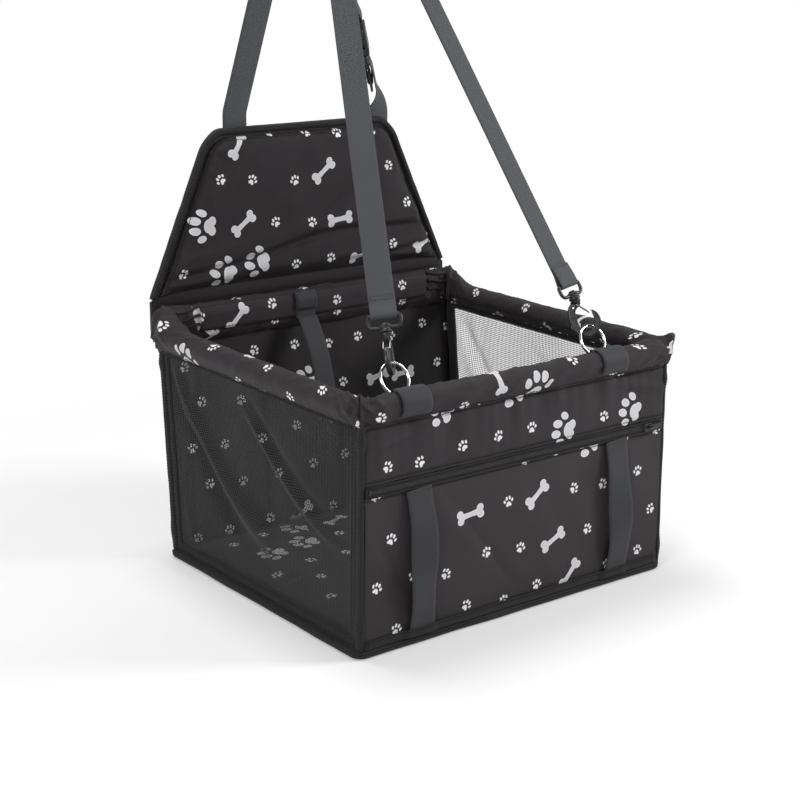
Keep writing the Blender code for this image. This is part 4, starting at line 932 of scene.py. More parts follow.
def levelLine(yOf, height):
    # A line of stitches just in front of the cloth
    lift = front["thickness"] / 2 + 0.0001
    reach = frontReach(box["zipHeight"]) - 0.002
    places = [reach * (2 * t - 1) for t in shares(int(2 * reach / 0.004))]
    return [Vector((x, yOf(x, height) - lift, height)) for x in places]


hem = [
    levelLine(pocketY, front["zipFoot"] - front["hem"]),
    levelLine(upperY, front["zipHead"] + front["hem"]),
    levelLine(upperY, box["wallHead"] - front["headHem"]),
]
wallPiece(stitches("front_stitching", hem, pitch=0.0037), "printed_cloth")


# The zip: tape, coil, end stops, and the folded cloth edges beside it

zipParts = {
    "reach": 0.1865,
    "tapeY": -0.1682,
    "tapeHalf": 0.0056,
    "tapeThickness": 0.0007,
    "coilY": -0.1691,
    "coilStand": 0.0009,
    "coilWidth": 0.0013,
    "coilRadius": 0.00058,
    "pitch": 0.0014,
    "cords": ((0.0024, 0.00055, 0.0003), (0.0049, 0.0007, 0.0002)),  # away from the middle, radius, set back
    "stopHalf": 0.0024,
    "stopRadius": 0.0011,
}


def zipTapePlace(u, v):
    x = (2 * u - 1) * (zipParts["reach"] + 0.004)
    height = box["zipHeight"] + (2 * v - 1) * zipParts["tapeHalf"]
    sag = 0.0003 * noise.noise(Vector((x / 0.03, v * 2, 5)))
    return Vector((x, zipParts["tapeY"] + sag, height))


zipFlat = flatAt(0.38, 0.011)
zipTape = clothGrid("zip_tape", 90, 4, zipTapePlace, zipFlat, tapeCloth, zipParts["tapeThickness"])
zipReach, zipMiddle = zipParts["reach"], zipParts["coilY"]
coilLines = []
for side in (-1, 1):
    height = box["zipHeight"] + side * zipParts["coilStand"]
    coilLines.append([Vector((x, zipMiddle, height)) for x in (-zipReach, zipReach)])
coil = alongLines(
    "zip_coil",
    coilLines,
    "coilTurns",
    coilPlastic,
    Pitch=zipParts["pitch"],
    Width=zipParts["coilWidth"],
    Radius=zipParts["coilRadius"],
)
coilCords = []
for side in (-1, 1):
    for away, radius, behind in zipParts["cords"]:
        height = box["zipHeight"] + side * away
        line = [Vector((x, zipMiddle + behind, height)) for x in (-zipReach - 0.002, zipReach + 0.002)]
        coilCords.append(rod("cord", spaced(line, 0.01), radius, tapeCloth, 8))
for side in (-1, 1):
    middle = Vector((side * zipReach, zipMiddle - 0.0002, box["zipHeight"]))
    stop = [middle + Vector((0, 0, end * zipParts["stopHalf"])) for end in (-1, 1)]
    coilCords.append(rod("stop", stop, zipParts["stopRadius"], coilPlastic, 10))
chain = joined("zip_chain_detail", [zipTape, coil] + coilCords)
onBody(chain, "zip_band", "black_tape", "zip_chain")


# The two webbing bands on the front

bands = {
    "width": 0.030,
    "thickness": 0.0015,
    "stand": 0.0012,
    "bow": 0.007,
    "foot": 0.0105,
    "drift": 0.0022,
    "slope": 0.0050,
    "lean": 0.16,
    "seamInset": 0.0030,
    "seamHalf": 0.0135,
    "places": {"left": -0.127, "right": 0.127},
}


def pocketFace(x, height):
    return plainPocket(x, height)[0] - 0.001


def bandY(middle, height, t):
    # In front of the pocket over the band's whole width, and bowed out between its ends
    cloth = min(pocketFace(middle + s * bands["width"] / 2, height) for s in (-1, 0, 1))
    return cloth - (bands["stand"] + bands["bow"] * arch(t) ** 1.5)


for sideName, middle in bands["places"].items():
    points, sides = [], []
    swayStart, leanStart = (0.6, 1.0) if middle > 0 else (2.2, 0.0)
    for t in shares(60):
        height = bands["foot"] + (pocketEnd - bands["foot"]) * t
        sway = bands["drift"] * math.sin(2 * math.pi * t + swayStart) * arch(t)
        lean = bands["lean"] * math.sin(2.4 * math.pi * t + leanStart) * arch(t)
        drift = bands["drift"] - bands["slope"] * t + sway
        points.append(Vector((middle + drift, bandY(middle, height, t), height)))
        sides.append(Vector((1, lean, 0)).normalized())
    band = "front_band_" + sideName
    # The band uses the lower-level webbing, which is painted shade
    webbed = strap(band + "_webbing", points, sides, bands["width"], bands["thickness"], shadedWebbing)
    wallPiece(webbed, "grey_webbing", band)
    rows = []
    for height in (bands["foot"] + bands["seamInset"], pocketEnd - bands["seamInset"]):
        t = (height - bands["foot"]) / (pocketEnd - bands["foot"])
        y = bandY(middle, height, t) - bands["thickness"] / 2
        drift = bands["drift"] - bands["slope"] * t
        rows.append([Vector((middle + drift + end * bands["seamHalf"], y, height)) for end in (-1, 1)])
    wallPiece(stitches(band + "_stitching", rows, threadGrey, 0.0028, 0.0010, 0.00032), "grey_webbing")

# A narrow tape binds the foot of the front and runs over the bands
foot = {"reach": 0.1900, "height": 0.0128, "over": 0.0021, "width": 0.0085, "thickness": 0.0013}
points, sides = [], []
for t in shares(96):
    x = foot["reach"] * (2 * t - 1)
    height = foot["height"] + 0.0005 * noise.noise(Vector((x * 25, 6, 6)))
    over = foot["over"] * ease((0.0200 - abs(abs(x) - 0.1265)) / 0.004)
    cloth = min(pocketFace(x, height), pocketY(x, height) - 0.0008)
    points.append(Vector((x, cloth - 0.0009 - over, height)))
    sides.append(Vector((0, 0, 1)))
footTape = strap("front_foot_binding", points, sides, foot["width"], foot["thickness"], tapeCloth)
wallPiece(footTape, "black_tape")
rows = [[point + Vector((0, -0.0008, 0.0026)) for point in points]]
wallPiece(stitches("front_foot_stitching", rows, pitch=0.0040), "black_tape")
print("front wall made")


# Rear wall, corner tapes and the side walls of net


def rearPlace(u, v):
    height = wallHeight(v)
    x = (2 * u - 1) * (sideX(height) - 0.0023)
    soft = arch(v) * min(1.0, 4 * arch(u))
    y = rearY(height) + 0.0012 * soft * folds(x, height, 41.0, 0.05)
    y -= 0.0012 * soft * creases(x + height * 0.8, height, 52.0, 0.07)
    return Vector((x, y, height))


rearFlat = flatAt(0.384, 0.216, 0.5, 0.013)
rearCloth = clothGrid("rear_wall_cloth", 80, 48, rearPlace, rearFlat, rearPrint, 0.0022)
wallPiece(rearCloth, "printed_cloth", "rear_wall")

cornerTape = {
    "across": 0.0026,
    "along": 0.0044,
    "sway": 0.0016,
    "swell": 0.10,
    "knot": 0.32,
    "twistPitch": 0.0032,
    "twist": 0.07,
}
for name, side, line in (
    ("corner_tape_front_left", -1, frontY),
    ("corner_tape_front_right", 1, frontY),
    ("corner_tape_rear_left", -1, rearY),
    ("corner_tape_rear_right", 1, rearY),
):
    loops = []
    for t in shares(300):
        height = wallHeight(t)
        sway = cornerTape["sway"] * noise.noise(Vector((t * 5, side, line(0.1) * 50))) * arch(t)
        middle = Vector((side * sideX(height) + sway, line(height) + sway, height))
        swell = 1 + cornerTape["swell"] * noise.noise(Vector((t * 11, side * 3, line(0.1) * 90)))
        swell += cornerTape["knot"] * (near(t, 0.09, 0.05) + near(t, 0.92, 0.03))
        loop = []
        for a in roundAngles(16):
            slant = a - 2 * math.pi * height / cornerTape["twistPitch"]
            twist = swell * (1 + cornerTape["twist"] * math.cos(slant))
            x, y = squaredOff(a, 0.7)
            offset = Vector((cornerTape["across"] * twist * x, cornerTape["along"] * twist * y, 0))
            loop.append(middle + offset)
        loops.append(loop)
    wallPiece(loft(name + "_binding", loops, tapeCloth), "black_tape", name)

sideWall = {
    "tapeWidth": 0.010,
    "tapeThickness": 0.0018,
    "headWidth": 0.0062,
    "threadPitch": 0.0022,
    "threadRadius": 0.00032,
    "sag": 0.0050,
}


def sideCorners(side, inset, head):
    play = 0.0038 + inset
    low, high = box["wallFoot"] + inset, box["wallHead"] - head
    return [
        Vector((side * sideX(low), frontY(low) + play, low)),
        Vector((side * sideX(low), rearY(low) - play, low)),
        Vector((side * sideX(high), rearY(high) - play, high)),
        Vector((side * sideX(high), frontY(high) + play, high)),
    ]


def netPlace(side, corners, u, v):
    # The net sags, and soft folds run down from its upper rear corner and across its front half
    a, b, c, d = corners
    point = a.lerp(d, v).lerp(b.lerp(c, v), u)
    soft = min(1.0, 3.2 * arch(u)) * min(1.0, 3.2 * arch(v))
    sag = sideWall["sag"] * (folds(u * 0.30, v * 0.20, 60.0 + side, 0.16) * 0.8 - 0.5 * arch(v) ** 2)
    bent = v - 0.29 - 2.3 * max(0.0, u - 0.43) ** 2
    sag += ease((u - 0.36) * 6) * (0.0080 * near(bent, 0.0, 0.075) - 0.0055 * near(bent, -0.15, 0.09))
    slant = v - 0.375 - 0.80 * u + 0.05 * math.sin(7 * u)
    sag += ease((0.62 - u) * 6) * (0.0042 * near(slant, 0.0, 0.030) - 0.0024 * near(slant, 0.075, 0.04))
    sag += 0.0020 * near(u - 0.06 * math.sin(5 * v), 0.90, 0.025)
    point.x += -side * 0.001 + side * sag * soft * (0.45 if side > 0 else 1.0)
    return point


def frameStations(side, outer, inner):
    # Round the frame: its outer and inner edge, and how far it ripples
    found = []
    for i in range(4):
        j = (i + 1) % 4
        for k in range(24):
            t = k / 24
            ripple = 0.0005 * noise.noise(Vector((i * 3 + t * 9, side, 2.0)))
            found.append((outer[i].lerp(outer[j], t), inner[i].lerp(inner[j], t), ripple))
    return found


# The frame tape's section: share of its width, and how thick it is there
frameSection = ((0.0, 0.35), (0.06, 1.0), (0.35, 1.0), (0.7, 0.95), (0.94, 1.0), (1.0, 0.35))

for sideName, side in (("left", -1), ("right", 1)):
    outer = sideCorners(side, 0.0004, 0.0004)
    inner = sideCorners(side, sideWall["tapeWidth"], sideWall["headWidth"])
    stations = frameStations(side, outer, inner)
    flat = sideWall["tapeThickness"] / 2
    loops = []
    for o, n, ripple in stations:
        loop = [o.lerp(n, m) + Vector((side * (flat * lift + ripple), 0, 0)) for m, lift in frameSection]
        back = []
        for (m, _), p in zip(frameSection, loop):
            back.append(Vector((2 * (side * ripple + o.lerp(n, m).x) - p.x, p.y, p.z)))
        loops.append(loop + back[::-1])
    frameTape = loft(sideName + "_net_binding", loops, tapeCloth, ring=True)
    wallPiece(frameTape, "black_tape", sideName + "_mesh_frame")
    seamLines = []
    for share in (0.16, 0.80):
        seam = [o.lerp(n, share) + Vector((side * (flat + ripple), 0, 0)) for o, n, ripple in stations]
        seamLines.append(seam + [seam[0]])
    wallPiece(stitches(sideName + "_net_stitching", seamLines, pitch=0.0040), "black_tape")

    # Threads cross at right angles
    corners = sideCorners(side, sideWall["tapeWidth"] - 0.002, sideWall["headWidth"] - 0.002)
    across = int((corners[1] - corners[0]).length / sideWall["threadPitch"])
    up = int((corners[3].z - corners[0].z) / sideWall["threadPitch"])
    lines = [[netPlace(side, corners, u, v) for v in shares(46)] for u in shares(across)]
    lines += [[netPlace(side, corners, u, v) for u in shares(70)] for v in shares(up)]
    net = alongLines(sideName + "_net", lines, "threads", netThread, Radius=sideWall["threadRadius"])
    wallPiece(net, "net", sideName + "_mesh")
print("walls and nets made")


# The bottom: edge tape, cloth under the board, and the floor pad

base = {
    "halfX": 0.1965,
    "halfY": 0.1665,
    "tapeAcross": 0.0041,
    "tapeUp": 0.0041,
    "corner": 0.008,
    "wobble": 0.0011,
    "lift": 0.0005,
    "seams": ((0.0041, 0.0052), (0.0020, 0.0079)),  # how far out and how high
    "clothX": 0.1925,
    "clothY": 0.1625,
    "clothThickness": 0.0026,
}


def roundedOutline(halfX, halfY, radius, cornerSteps=8, step=0.008):
    # Points and outward directions round a rectangle, evenly along its sides
    found = []
    signs = ((1, 1), (-1, 1), (-1, -1), (1, -1))
    for corner in range(4):
        middle, target = (
            Vector((x * (halfX - radius), y * (halfY - radius), 0))
            for x, y in (signs[corner], signs[corner - 3])
        )
        for t in shares(cornerSteps):
            a = math.pi / 2 * (corner + t)
            out = Vector((math.cos(a), math.sin(a), 0))
            found.append((middle + radius * out, out))
        start, out = found[-1]
        target += radius * out
        count = max(1, int((target - start).length / step))
        found += [(start.lerp(target, k / count), out) for k in range(1, count)]
    return found


baseOutline = roundedOutline(base["halfX"], base["halfY"], base["corner"])
loops = []
for point, out in baseOutline:
    wobble = base["wobble"] * noise.noise(Vector((point.x * 18, point.y * 18, 4.0)))
    lift = base["lift"] * noise.noise(Vector((point.x * 25, point.y * 25, 8.0)))
    loop = []
    for a in roundAngles(16):
        across, upward = squaredOff(a, 0.75)
        upward *= base["tapeUp"]
        height = max(0.0, base["tapeUp"] + upward + lift * (upward > 0))
        loop.append(point + out * (base["tapeAcross"] * across + wobble) + Vector((0, 0, height)))
    loops.append(loop)
onBody(loft("base_edge_binding", loops, tapeCloth, ring=True), "car_seat", "black_tape", "base_edge_tape")
lines = []
for away, height in base["seams"]:
    line = [point + out * away + Vector((0, 0, height)) for point, out in baseOutline]
    lines.append(line + [line[0]])
onBody(stitches("base_edge_stitching", lines, pitch=0.0042), "car_seat", "black_tape")


def baseClothPlace(u, v):
    x, y = (2 * u - 1) * base["clothX"], (2 * v - 1) * base["clothY"]
    return Vector((x, y, 0.0017 + 0.0003 * folds(x, y, 71.0, 0.06)))


baseFlat = flatAt(0.385, 0.325)
baseCloth = clothGrid(
    "base_cloth_sheet", 60, 50, baseClothPlace, baseFlat, liningCloth, base["clothThickness"]
)
onBody(baseCloth, "car_seat", "printed_cloth", "base_cloth")

padShape = {
    "halfX": 0.1855,
    "halfY": 0.1555,
    "low": 0.0072,
    "start": 0.0085,
    "voxel": 0.0055,
    "pressure": 4.0,
    "cap": 0.006,
    "quilting": 0.0026,
    "channel": 0.005,
    "most": (0.1905, 0.1600, 0.0215),
}


def slab(name, outline, low, high, paint):
    # A flat closed slab on an outline, the start of a padded piece. low is its height, or None if it stands.
    bm = bmesh.new()
    face = bm.faces.new([bm.verts.new((p.x, p.y, p.z if low is None else low)) for p in outline])
    grown = bmesh.ops.extrude_face_region(bm, geom=[face])
    moved = [item for item in grown["geom"] if isinstance(item, bmesh.types.BMVert)]
    bmesh.ops.translate(bm, vec=high, verts=moved)
    bmesh.ops.recalc_face_normals(bm, faces=bm.faces)
    mesh = bpy.data.meshes.new(name)
    bm.to_mesh(mesh)
    bm.free()
    return newPiece(name, mesh, paint)


def remeshed(piece, voxel):
    modifier = piece.modifiers.new("even", "REMESH")
    modifier.mode = "VOXEL"
    modifier.voxel_size = voxel
    return settled(piece)


def swelled(piece, pressure, cap):
    # Fills the pad like its foam does, then keeps every point within the cap of where it was
    before = [vert.co.copy() for vert in piece.data.vertices]
    cloth = piece.modifiers.new("cloth", "CLOTH")
    cloth.settings.quality = 5
    cloth.settings.mass = 0.25
    cloth.settings.tension_stiffness = 22
    cloth.settings.compression_stiffness = 22
    cloth.settings.bending_stiffness = 1.2
    cloth.settings.use_pressure = True
    cloth.settings.uniform_pressure_force = pressure
    cloth.settings.effector_weights.gravity = 0
    cloth.collision_settings.use_collision = False
    for number in range(1, 21):
        scene.frame_set(number)
    settled(piece)
    scene.frame_set(1)
    for vert, old in zip(piece.data.vertices, before):
        step = vert.co - old
        if step.length > cap:
            vert.co = old + step * (cap / step.length)
    return piece


def smoothed(piece):
    modifier = piece.modifiers.new("smooth", "SUBSURF")
    modifier.levels = 1
    modifier.render_levels = 1
    settled(piece)
    piece.data.shade_smooth()
    return piece


outline = roundedOutline(padShape["halfX"] - 0.002, padShape["halfY"] - 0.002, 0.016, 6, 1.0)
pad = slab(
    "floor_pad_cushion",
    [point for point, _ in outline],
    padShape["low"] + 0.001,
    (0, 0, padShape["start"] - 0.003),
    padPrint,
)
remeshed(pad, padShape["voxel"])
swelled(pad, padShape["pressure"], padShape["cap"])
smoothed(pad)
mostX, mostY, mostZ = padShape["most"]
for vert in pad.data.vertices:
    x, y, z = vert.co
    if z > padShape["low"] + 0.003:
        for line in (-padShape["halfX"] / 3, padShape["halfX"] / 3):
            z -= padShape["quilting"] * near(x, line, padShape["channel"])
        z -= padShape["quilting"] * near(y, 0.0, padShape["channel"])
        z += 0.0006 * folds(x, y, 91.0, 0.03)
    x, y = clampTo(x, -mostX, mostX), clampTo(y, 0.001 - mostY, mostY)
    vert.co = Vector((x, y, clampTo(z, padShape["low"], mostZ)))
onBody(pad, "car_seat", "printed_cloth", "floor_pad")
print("bottom and floor pad made")


# The rim: four printed sleeves, drawn in at their lower seam and crumpled at the corners

sleeve = {
    "radius": 0.0124,
    "wall": 0.0013,
    "sides": 44,
    "step": 0.0035,
    "folds": 0.0011,
    "creases": 0.0019,
    "gathers": 0.00045,
    "gatherPitch": 0.0135,
    "crumpleReach": 0.026,
    "crumpledFolds": 0.0028,
    "crumpledCreases": 0.0040,
    "pinch": 0.0026,
    "ridge": 0.0008,
    "peak": 0.0080,
    "peakAngle": 2.05,
}
rimCorners = [
    Vector((side * box["rimSide"], box[line], box["rimHeight"]))
    for side, line in ((-1, "rimFront"), (1, "rimFront"), (1, "rimRear"), (-1, "rimRear"), (-1, "rimFront"))
]
# tip is how far the lower seam stands out, and loose scales the folds
rimSides = {
    "front": {"ends": rimCorners[0:2], "tip": 0.0042, "seed": 1.0, "loose": 0.8},
    "right": {"ends": rimCorners[1:3], "tip": 0.0034, "seed": 2.0, "loose": 0.45},
    "rear": {"ends": rimCorners[2:4], "tip": 0.0006, "seed": 3.0, "loose": 1.0},
    "left": {"ends": rimCorners[3:5], "tip": 0.0034, "seed": 4.0, "loose": 0.45},
}
tabPlaces = {"left": -0.138, "right": 0.112}


def sleeveSection(angle, radius, rise, tip):
    # Angle 0 points into the box and a quarter turn points up. The lower side draws down to the seam.
    lateral, height = radius * math.cos(angle), radius * math.sin(angle)
    if height > 0:
        height += rise * min(1.0, 2.0 * math.sin(angle))
    else:
        low = -math.sin(angle)
        lateral = lateral * (1 - 0.30 * low**2) - tip * low**3
        height *= 1 + 0.20 * low**4
    return lateral, height


def sleevePoint(sideName, t, angle, inset=0.0):
    start, end = rimSides[sideName]["ends"]
    seed, loose = rimSides[sideName]["seed"], rimSides[sideName]["loose"]
    along = (end - start).normalized()
    inward = Vector((0, 0, 1)).cross(along)
    length = (end - start).length
    ends = min(t, 1 - t) * length
    place = t * length
    atFront = {"front": 1.0, "rear": 0.0, "left": float(t > 0.5), "right": float(t < 0.5)}[sideName]
    rise = box["sleeveRise"] * (1.0 if sideName == "rear" else (1 - atFront) * ease(1 - ends / 0.045))
    push = loose * sleeve["folds"] * folds(place, angle * 0.010, seed, 0.024)
    bend = creases(place + angle * 0.014, angle * 0.012, seed + 5, 0.034)
    push += loose * (sleeve["creases"] * bend - 0.0008)
    gather = max(0.0, -math.sin(angle)) ** 2
    waver = 2.5 * noise.noise(Vector((place * 30, seed, 0)))
    push += sleeve["gathers"] * gather * math.sin(place * 2 * math.pi / sleeve["gatherPitch"] + waver)
    crumple = near(ends, 0.0, sleeve["crumpleReach"]) * ease(ends / 0.004)
    bend = folds(place - angle * 0.009, angle * 0.013, seed + 30, 0.013)
    push += sleeve["crumpledFolds"] * crumple * bend
    bend = creases(place - angle * 0.010, angle * 0.006, seed + 40, 0.018)
    push += sleeve["crumpledCreases"] * crumple * bend
    top = max(0.0, math.cos(angle - sleeve["peakAngle"]))
    push += near(ends, 0.0, 0.0042) * (sleeve["ridge"] + sleeve["peak"] * atFront * top**14)
    push -= sleeve["pinch"] * near(ends, 0.010, 0.0050) * (0.3 + 0.7 * top)
    if sideName == "front":
        x = start.x + place
        held = max(near(x, middle, 0.021) for middle in tabPlaces.values())
        push = push * (1 - held) - 0.0003 * held
    lateral, height = sleeveSection(angle, sleeve["radius"] - inset, rise, rimSides[sideName]["tip"])
    # The cloth is pulled tight round the outside of each corner
    if lateral < 0:
        lateral *= 1 - 0.50 * near(ends, 0.0, 0.0125)
    lateral += push * math.cos(angle)
    height += push * math.sin(angle)
    shift = lateral + box["gap"]
    run = shift + (length - 2 * shift) * t
    return start + along * run + inward * lateral + Vector((0, 0, height))


for number, sideName in enumerate(rimSides):
    start, end = rimSides[sideName]["ends"]
    count = int((end - start).length / sleeve["step"])
    # More stations near the corners, where the cloth is crumpled
    stations = [t - 0.35 * math.sin(2 * math.pi * t) / (2 * math.pi) for t in shares(count)]
    angles = [a - math.pi / 2 for a in roundAngles(sleeve["sides"])]
    loops = [[sleevePoint(sideName, t, a) for a in angles] for t in stations]
    loops += [[sleevePoint(sideName, t, a, sleeve["wall"]) for a in angles] for t in reversed(stations)]
    girth = sleeve["radius"] * 2 * math.pi
    around = [girth * share + number * 0.31 for share in shares(sleeve["sides"])]
    piece = loft("rim_sleeve_%s_cloth" % sideName, loops, sleevePrint, around=around, ring=True)
    onBody(piece, "rim", "printed_cloth", "rim_sleeve_" + sideName)
    line = [sleevePoint(sideName, 0.015 + 0.97 * t, math.radians(248), -0.0003) for t in shares(160)]
    seam = stitches("rim_%s_stitching" % sideName, [line], pitch=0.0038)
    onBody(seam, "rim", "printed_cloth")

# The patch on the inner face of the rear sleeve, with its seams and tucked ends
patch = {"left": -0.152, "right": 0.150, "low": 0.2385, "high": 0.2655, "y": 0.1722}
tuck = {"start": 0.153, "run": 0.028, "heights": (0.2462, 0.2555, 0.2640), "drop": 0.0035, "radius": 0.0017}


def patchPlace(u, v):
    x = patch["left"] + (patch["right"] - patch["left"]) * u
    z = patch["low"] + (patch["high"] - patch["low"]) * v
    over = clampTo((z - 0.2535) / 0.0125, 0.0, 1.0)
    y = patch["y"] + 0.0060 * over**2.2
    y -= 0.0007 * arch(v) * min(1, 8 * arch(u)) + 0.0004 * folds(x, z, 77.0, 0.03)
    return Vector((x, y, z))


patchFlat = flatAt(0.302, 0.027, 0.8, 0.1)
patchCloth = clothGrid("rear_patch", 100, 10, patchPlace, patchFlat, sleevePrint, 0.0011)
lines = []
for v in (0.07, 0.93):
    lines.append([patchPlace(0.01 + 0.98 * t, v) + Vector((0, -0.0007, 0)) for t in shares(80)])
onBody(patchCloth, "rim", "printed_cloth")
onBody(stitches("rear_patch_stitching", lines, pitch=0.0038), "rim", "printed_cloth")
tucks = []
for side in (-1, 1):
    for n, height in enumerate(tuck["heights"]):
        line = []
        for t in shares(15):
            x = side * (tuck["start"] + tuck["run"] * t)
            z = height - tuck["drop"] * t + 0.0008 * math.sin(5 * t + n)
            y = patch["y"] + 0.0012 + 0.0055 * clampTo((z - 0.2545) / 0.0115, 0, 1) ** 2
            line.append(Vector((x, y, z)))
        tucks.append(rod("tuck", line, tuck["radius"], plainPrint, 10, flatten=0.8))
onBody(joined("rear_sleeve_tucks", tucks), "rim", "printed_cloth")
print("rim made")


# Places of the straps and hooks, from the same lines as their solids

wire = 0.0016
ringBend = 0.0154
tabReach = box["sleeveRadius"] + box["gap"] + wire
holdAngle = math.radians(165)
tabOut = Vector((0, -math.cos(holdAngle), math.sin(holdAngle)))
ringAxis = Vector((0, box["rimFront"], box["rimHeight"])) + tabReach * tabOut
strapSizes = {
    "width": 0.025,
    "headrestWidth": 0.030,
    "thickness": 0.0015,
    "overlap": 0.021,
    "layerGap": 0.0004,
    "closing": 0.014,
    "apexBend": 0.014,
    "apex": Vector((0, 0.150, 0.767)),
    "headrestApex": Vector((0, 0.186, 0.757)),
}
ringLean = (strapSizes["apex"] - ringAxis).normalized()


class Place:
    # A point with three directions: across, out and along
    def __init__(self, origin, across, along):
        self.origin = origin
        self.along = along.normalized()
        self.across = (across - self.along * across.dot(self.along)).normalized()
        self.out = self.along.cross(self.across)

    def at(self, across=0.0, out=0.0, along=0.0):
        return self.origin + self.across * across + self.out * out + self.along * along

    def turned(self, angle):
        return Place(self.origin, self.across * math.cos(angle) + self.out * math.sin(angle), self.along)


def legPlace(x, turn):
    hold = Vector((x, 0, 0)) + ringAxis + ringLean * 2 * ringBend
    bend = strapSizes["apexBend"]
    target = strapSizes["apex"] + Vector((math.copysign(bend, x), 0, -bend))
    return Place(hold, Vector((1, 0, 0)), target - hold).turned(turn)


# Rings and the tabs that hold them

for sideName, x in tabPlaces.items():
    middle = Vector((x, 0, 0)) + ringAxis + ringLean * ringBend
    spokes = [Vector((1, 0, 0)) * math.cos(a) + ringLean * math.sin(a) for a in roundAngles(72)]
    line = [middle + ringBend * spoke for spoke in spokes]
    ring = rod("ring_%s_wire" % sideName, line, wire, chrome, 18, closed=True)
    onBody(ring, "rings", "chrome", "ring_" + sideName)

tab = {"width": 0.034, "neck": 0.017, "thickness": 0.0014, "end": math.radians(42), "pleat": 0.0004}
for sideName, x in tabPlaces.items():
    line = box["sleeveRadius"] + box["gap"] + tab["thickness"] / 2
    rise = ringBend - math.sqrt(ringBend**2 - (tab["neck"] / 2) ** 2)
    archReach = rise + wire + 2 * box["gap"] + tab["thickness"] / 2
    loops = []
    for t in shares(90):
        angle = -tab["end"] + (math.pi + 2 * tab["end"]) * t
        away = angle - holdAngle
        reachOut = line
        inside = archReach**2 - (tabReach * math.sin(away)) ** 2
        if inside > 0 and math.cos(away) > 0:
            reachOut = max(line, tabReach * math.cos(away) + math.sqrt(inside))
        half = (tab["neck"] + (tab["width"] - tab["neck"]) * ease((abs(away) - 0.45) / 0.7)) / 2
        out = Vector((0, -math.cos(angle), math.sin(angle)))
        centre = Vector((x, box["rimFront"], box["rimHeight"])) + out * reachOut
        gathered = 1 - (half * 2 - tab["neck"]) / (tab["width"] - tab["neck"])
        upper, under = [], []
        for n in range(13):
            share = 2 * n / 12 - 1
            pleat = tab["pleat"] * gathered * math.cos(share * math.pi * 3)
            deep = tab["thickness"] / 2 * (0.62 if n in (0, 12) else 1.0)
            place = centre + Vector((share * half, 0, 0))
            upper.append(place + out * (deep + pleat))
            under.append(place - out * deep)
        loops.append(upper + under[::-1])
    around = [tab["width"] * (share - 0.5) for share in shares(12)]
    around += around[::-1]
    # The tab uses the lower-level webbing, which is painted shade
    piece = loft("ring_tab_%s_webbing" % sideName, loops, shadedWebbing, around=around + [around[0]])
    onBody(piece, "rim", "grey_webbing", "ring_tab_" + sideName)
print("rings and tabs made")


# Swivel hooks

hook = {
    "length": 0.0285,
    "bowlRadius": 0.0081,
    "seatRise": 0.0036,
    "armWidth": 0.0050,
    "thickness": 0.0042,
    "collarHeight": 0.0082,
    "collarRadius": 0.0060,
    "collarWaist": 0.0048,
    "eyeHeight": 0.0122,
    "eyeWire": 0.0036,
    "eyePlay": 0.0010,
    "gateWire": 0.0014,
    "pivotDrop": 0.0042,
    "pivotOffset": -0.0010,
    "noseShare": 0.35,
    "gateBend": 0.0014,
    "headWidth": 0.0044,
    "holes": ((-0.50, 1.86), (-0.86, 1.46), (-0.98, 0.98)),
    "holeRadius": 0.00105,
    "neck": (
        (0.0284, 0.0030, 0.0030),
        (0.0285, 0.0050, 0.0050),
        (0.0281, 0.0054, 0.0053),
        (0.0273, 0.0055, 0.0050),
        (0.0268, 0.0050, 0.0042),
        (0.0262, 0.0051, 0.0038),
        (0.0255, 0.0046, 0.0027),
        (0.0249, 0.0043, 0.0023),
        (0.0232, 0.0036, 0.0022),
        (0.0222, 0.0024, 0.0018),
    ),
    "nose": ((0.86, 0.0005, 0.0002), (0.62, 0.0012, 0.0007), (0.34, 0.0016, 0.0012), (0.12, 0.0018, 0.0015)),
    "line": (
        (0.13, 2.04, 0.96),
        (-0.29, 1.94, 1.18),
        (-0.70, 1.63, 1.25),
        (-0.94, 0.80, 1.20),
        (-0.88, -0.40, 1.05),
        (0.00, -1.00, 1.00),
        (0.88, -0.42, 0.98),
        (1.08, 0.35, 0.90),
        (1.02, 0.88, 0.70),
    ),
}
bowlMiddle = hook["bowlRadius"] - wire - box["gap"] - hook["seatRise"]
bowlLine = hook["bowlRadius"] + hook["armWidth"] / 2
collarFoot = hook["length"] + box["gap"]
collarHead = collarFoot + hook["collarHeight"]
eyeLow = collarFoot + hook["collarHeight"] * 0.66
eyeHigh = eyeLow + hook["eyeHeight"]


def turnedPart(name, place, profile, paint, sides=28):
    # Radii and heights, from top to bottom, turned about the place's own line
    turns = roundAngles(sides)
    loops = []
    for radius, height in profile:
        loops.append([place.at(radius * math.cos(a), radius * math.sin(a), height) for a in turns])
    return loft(name, loops, paint)


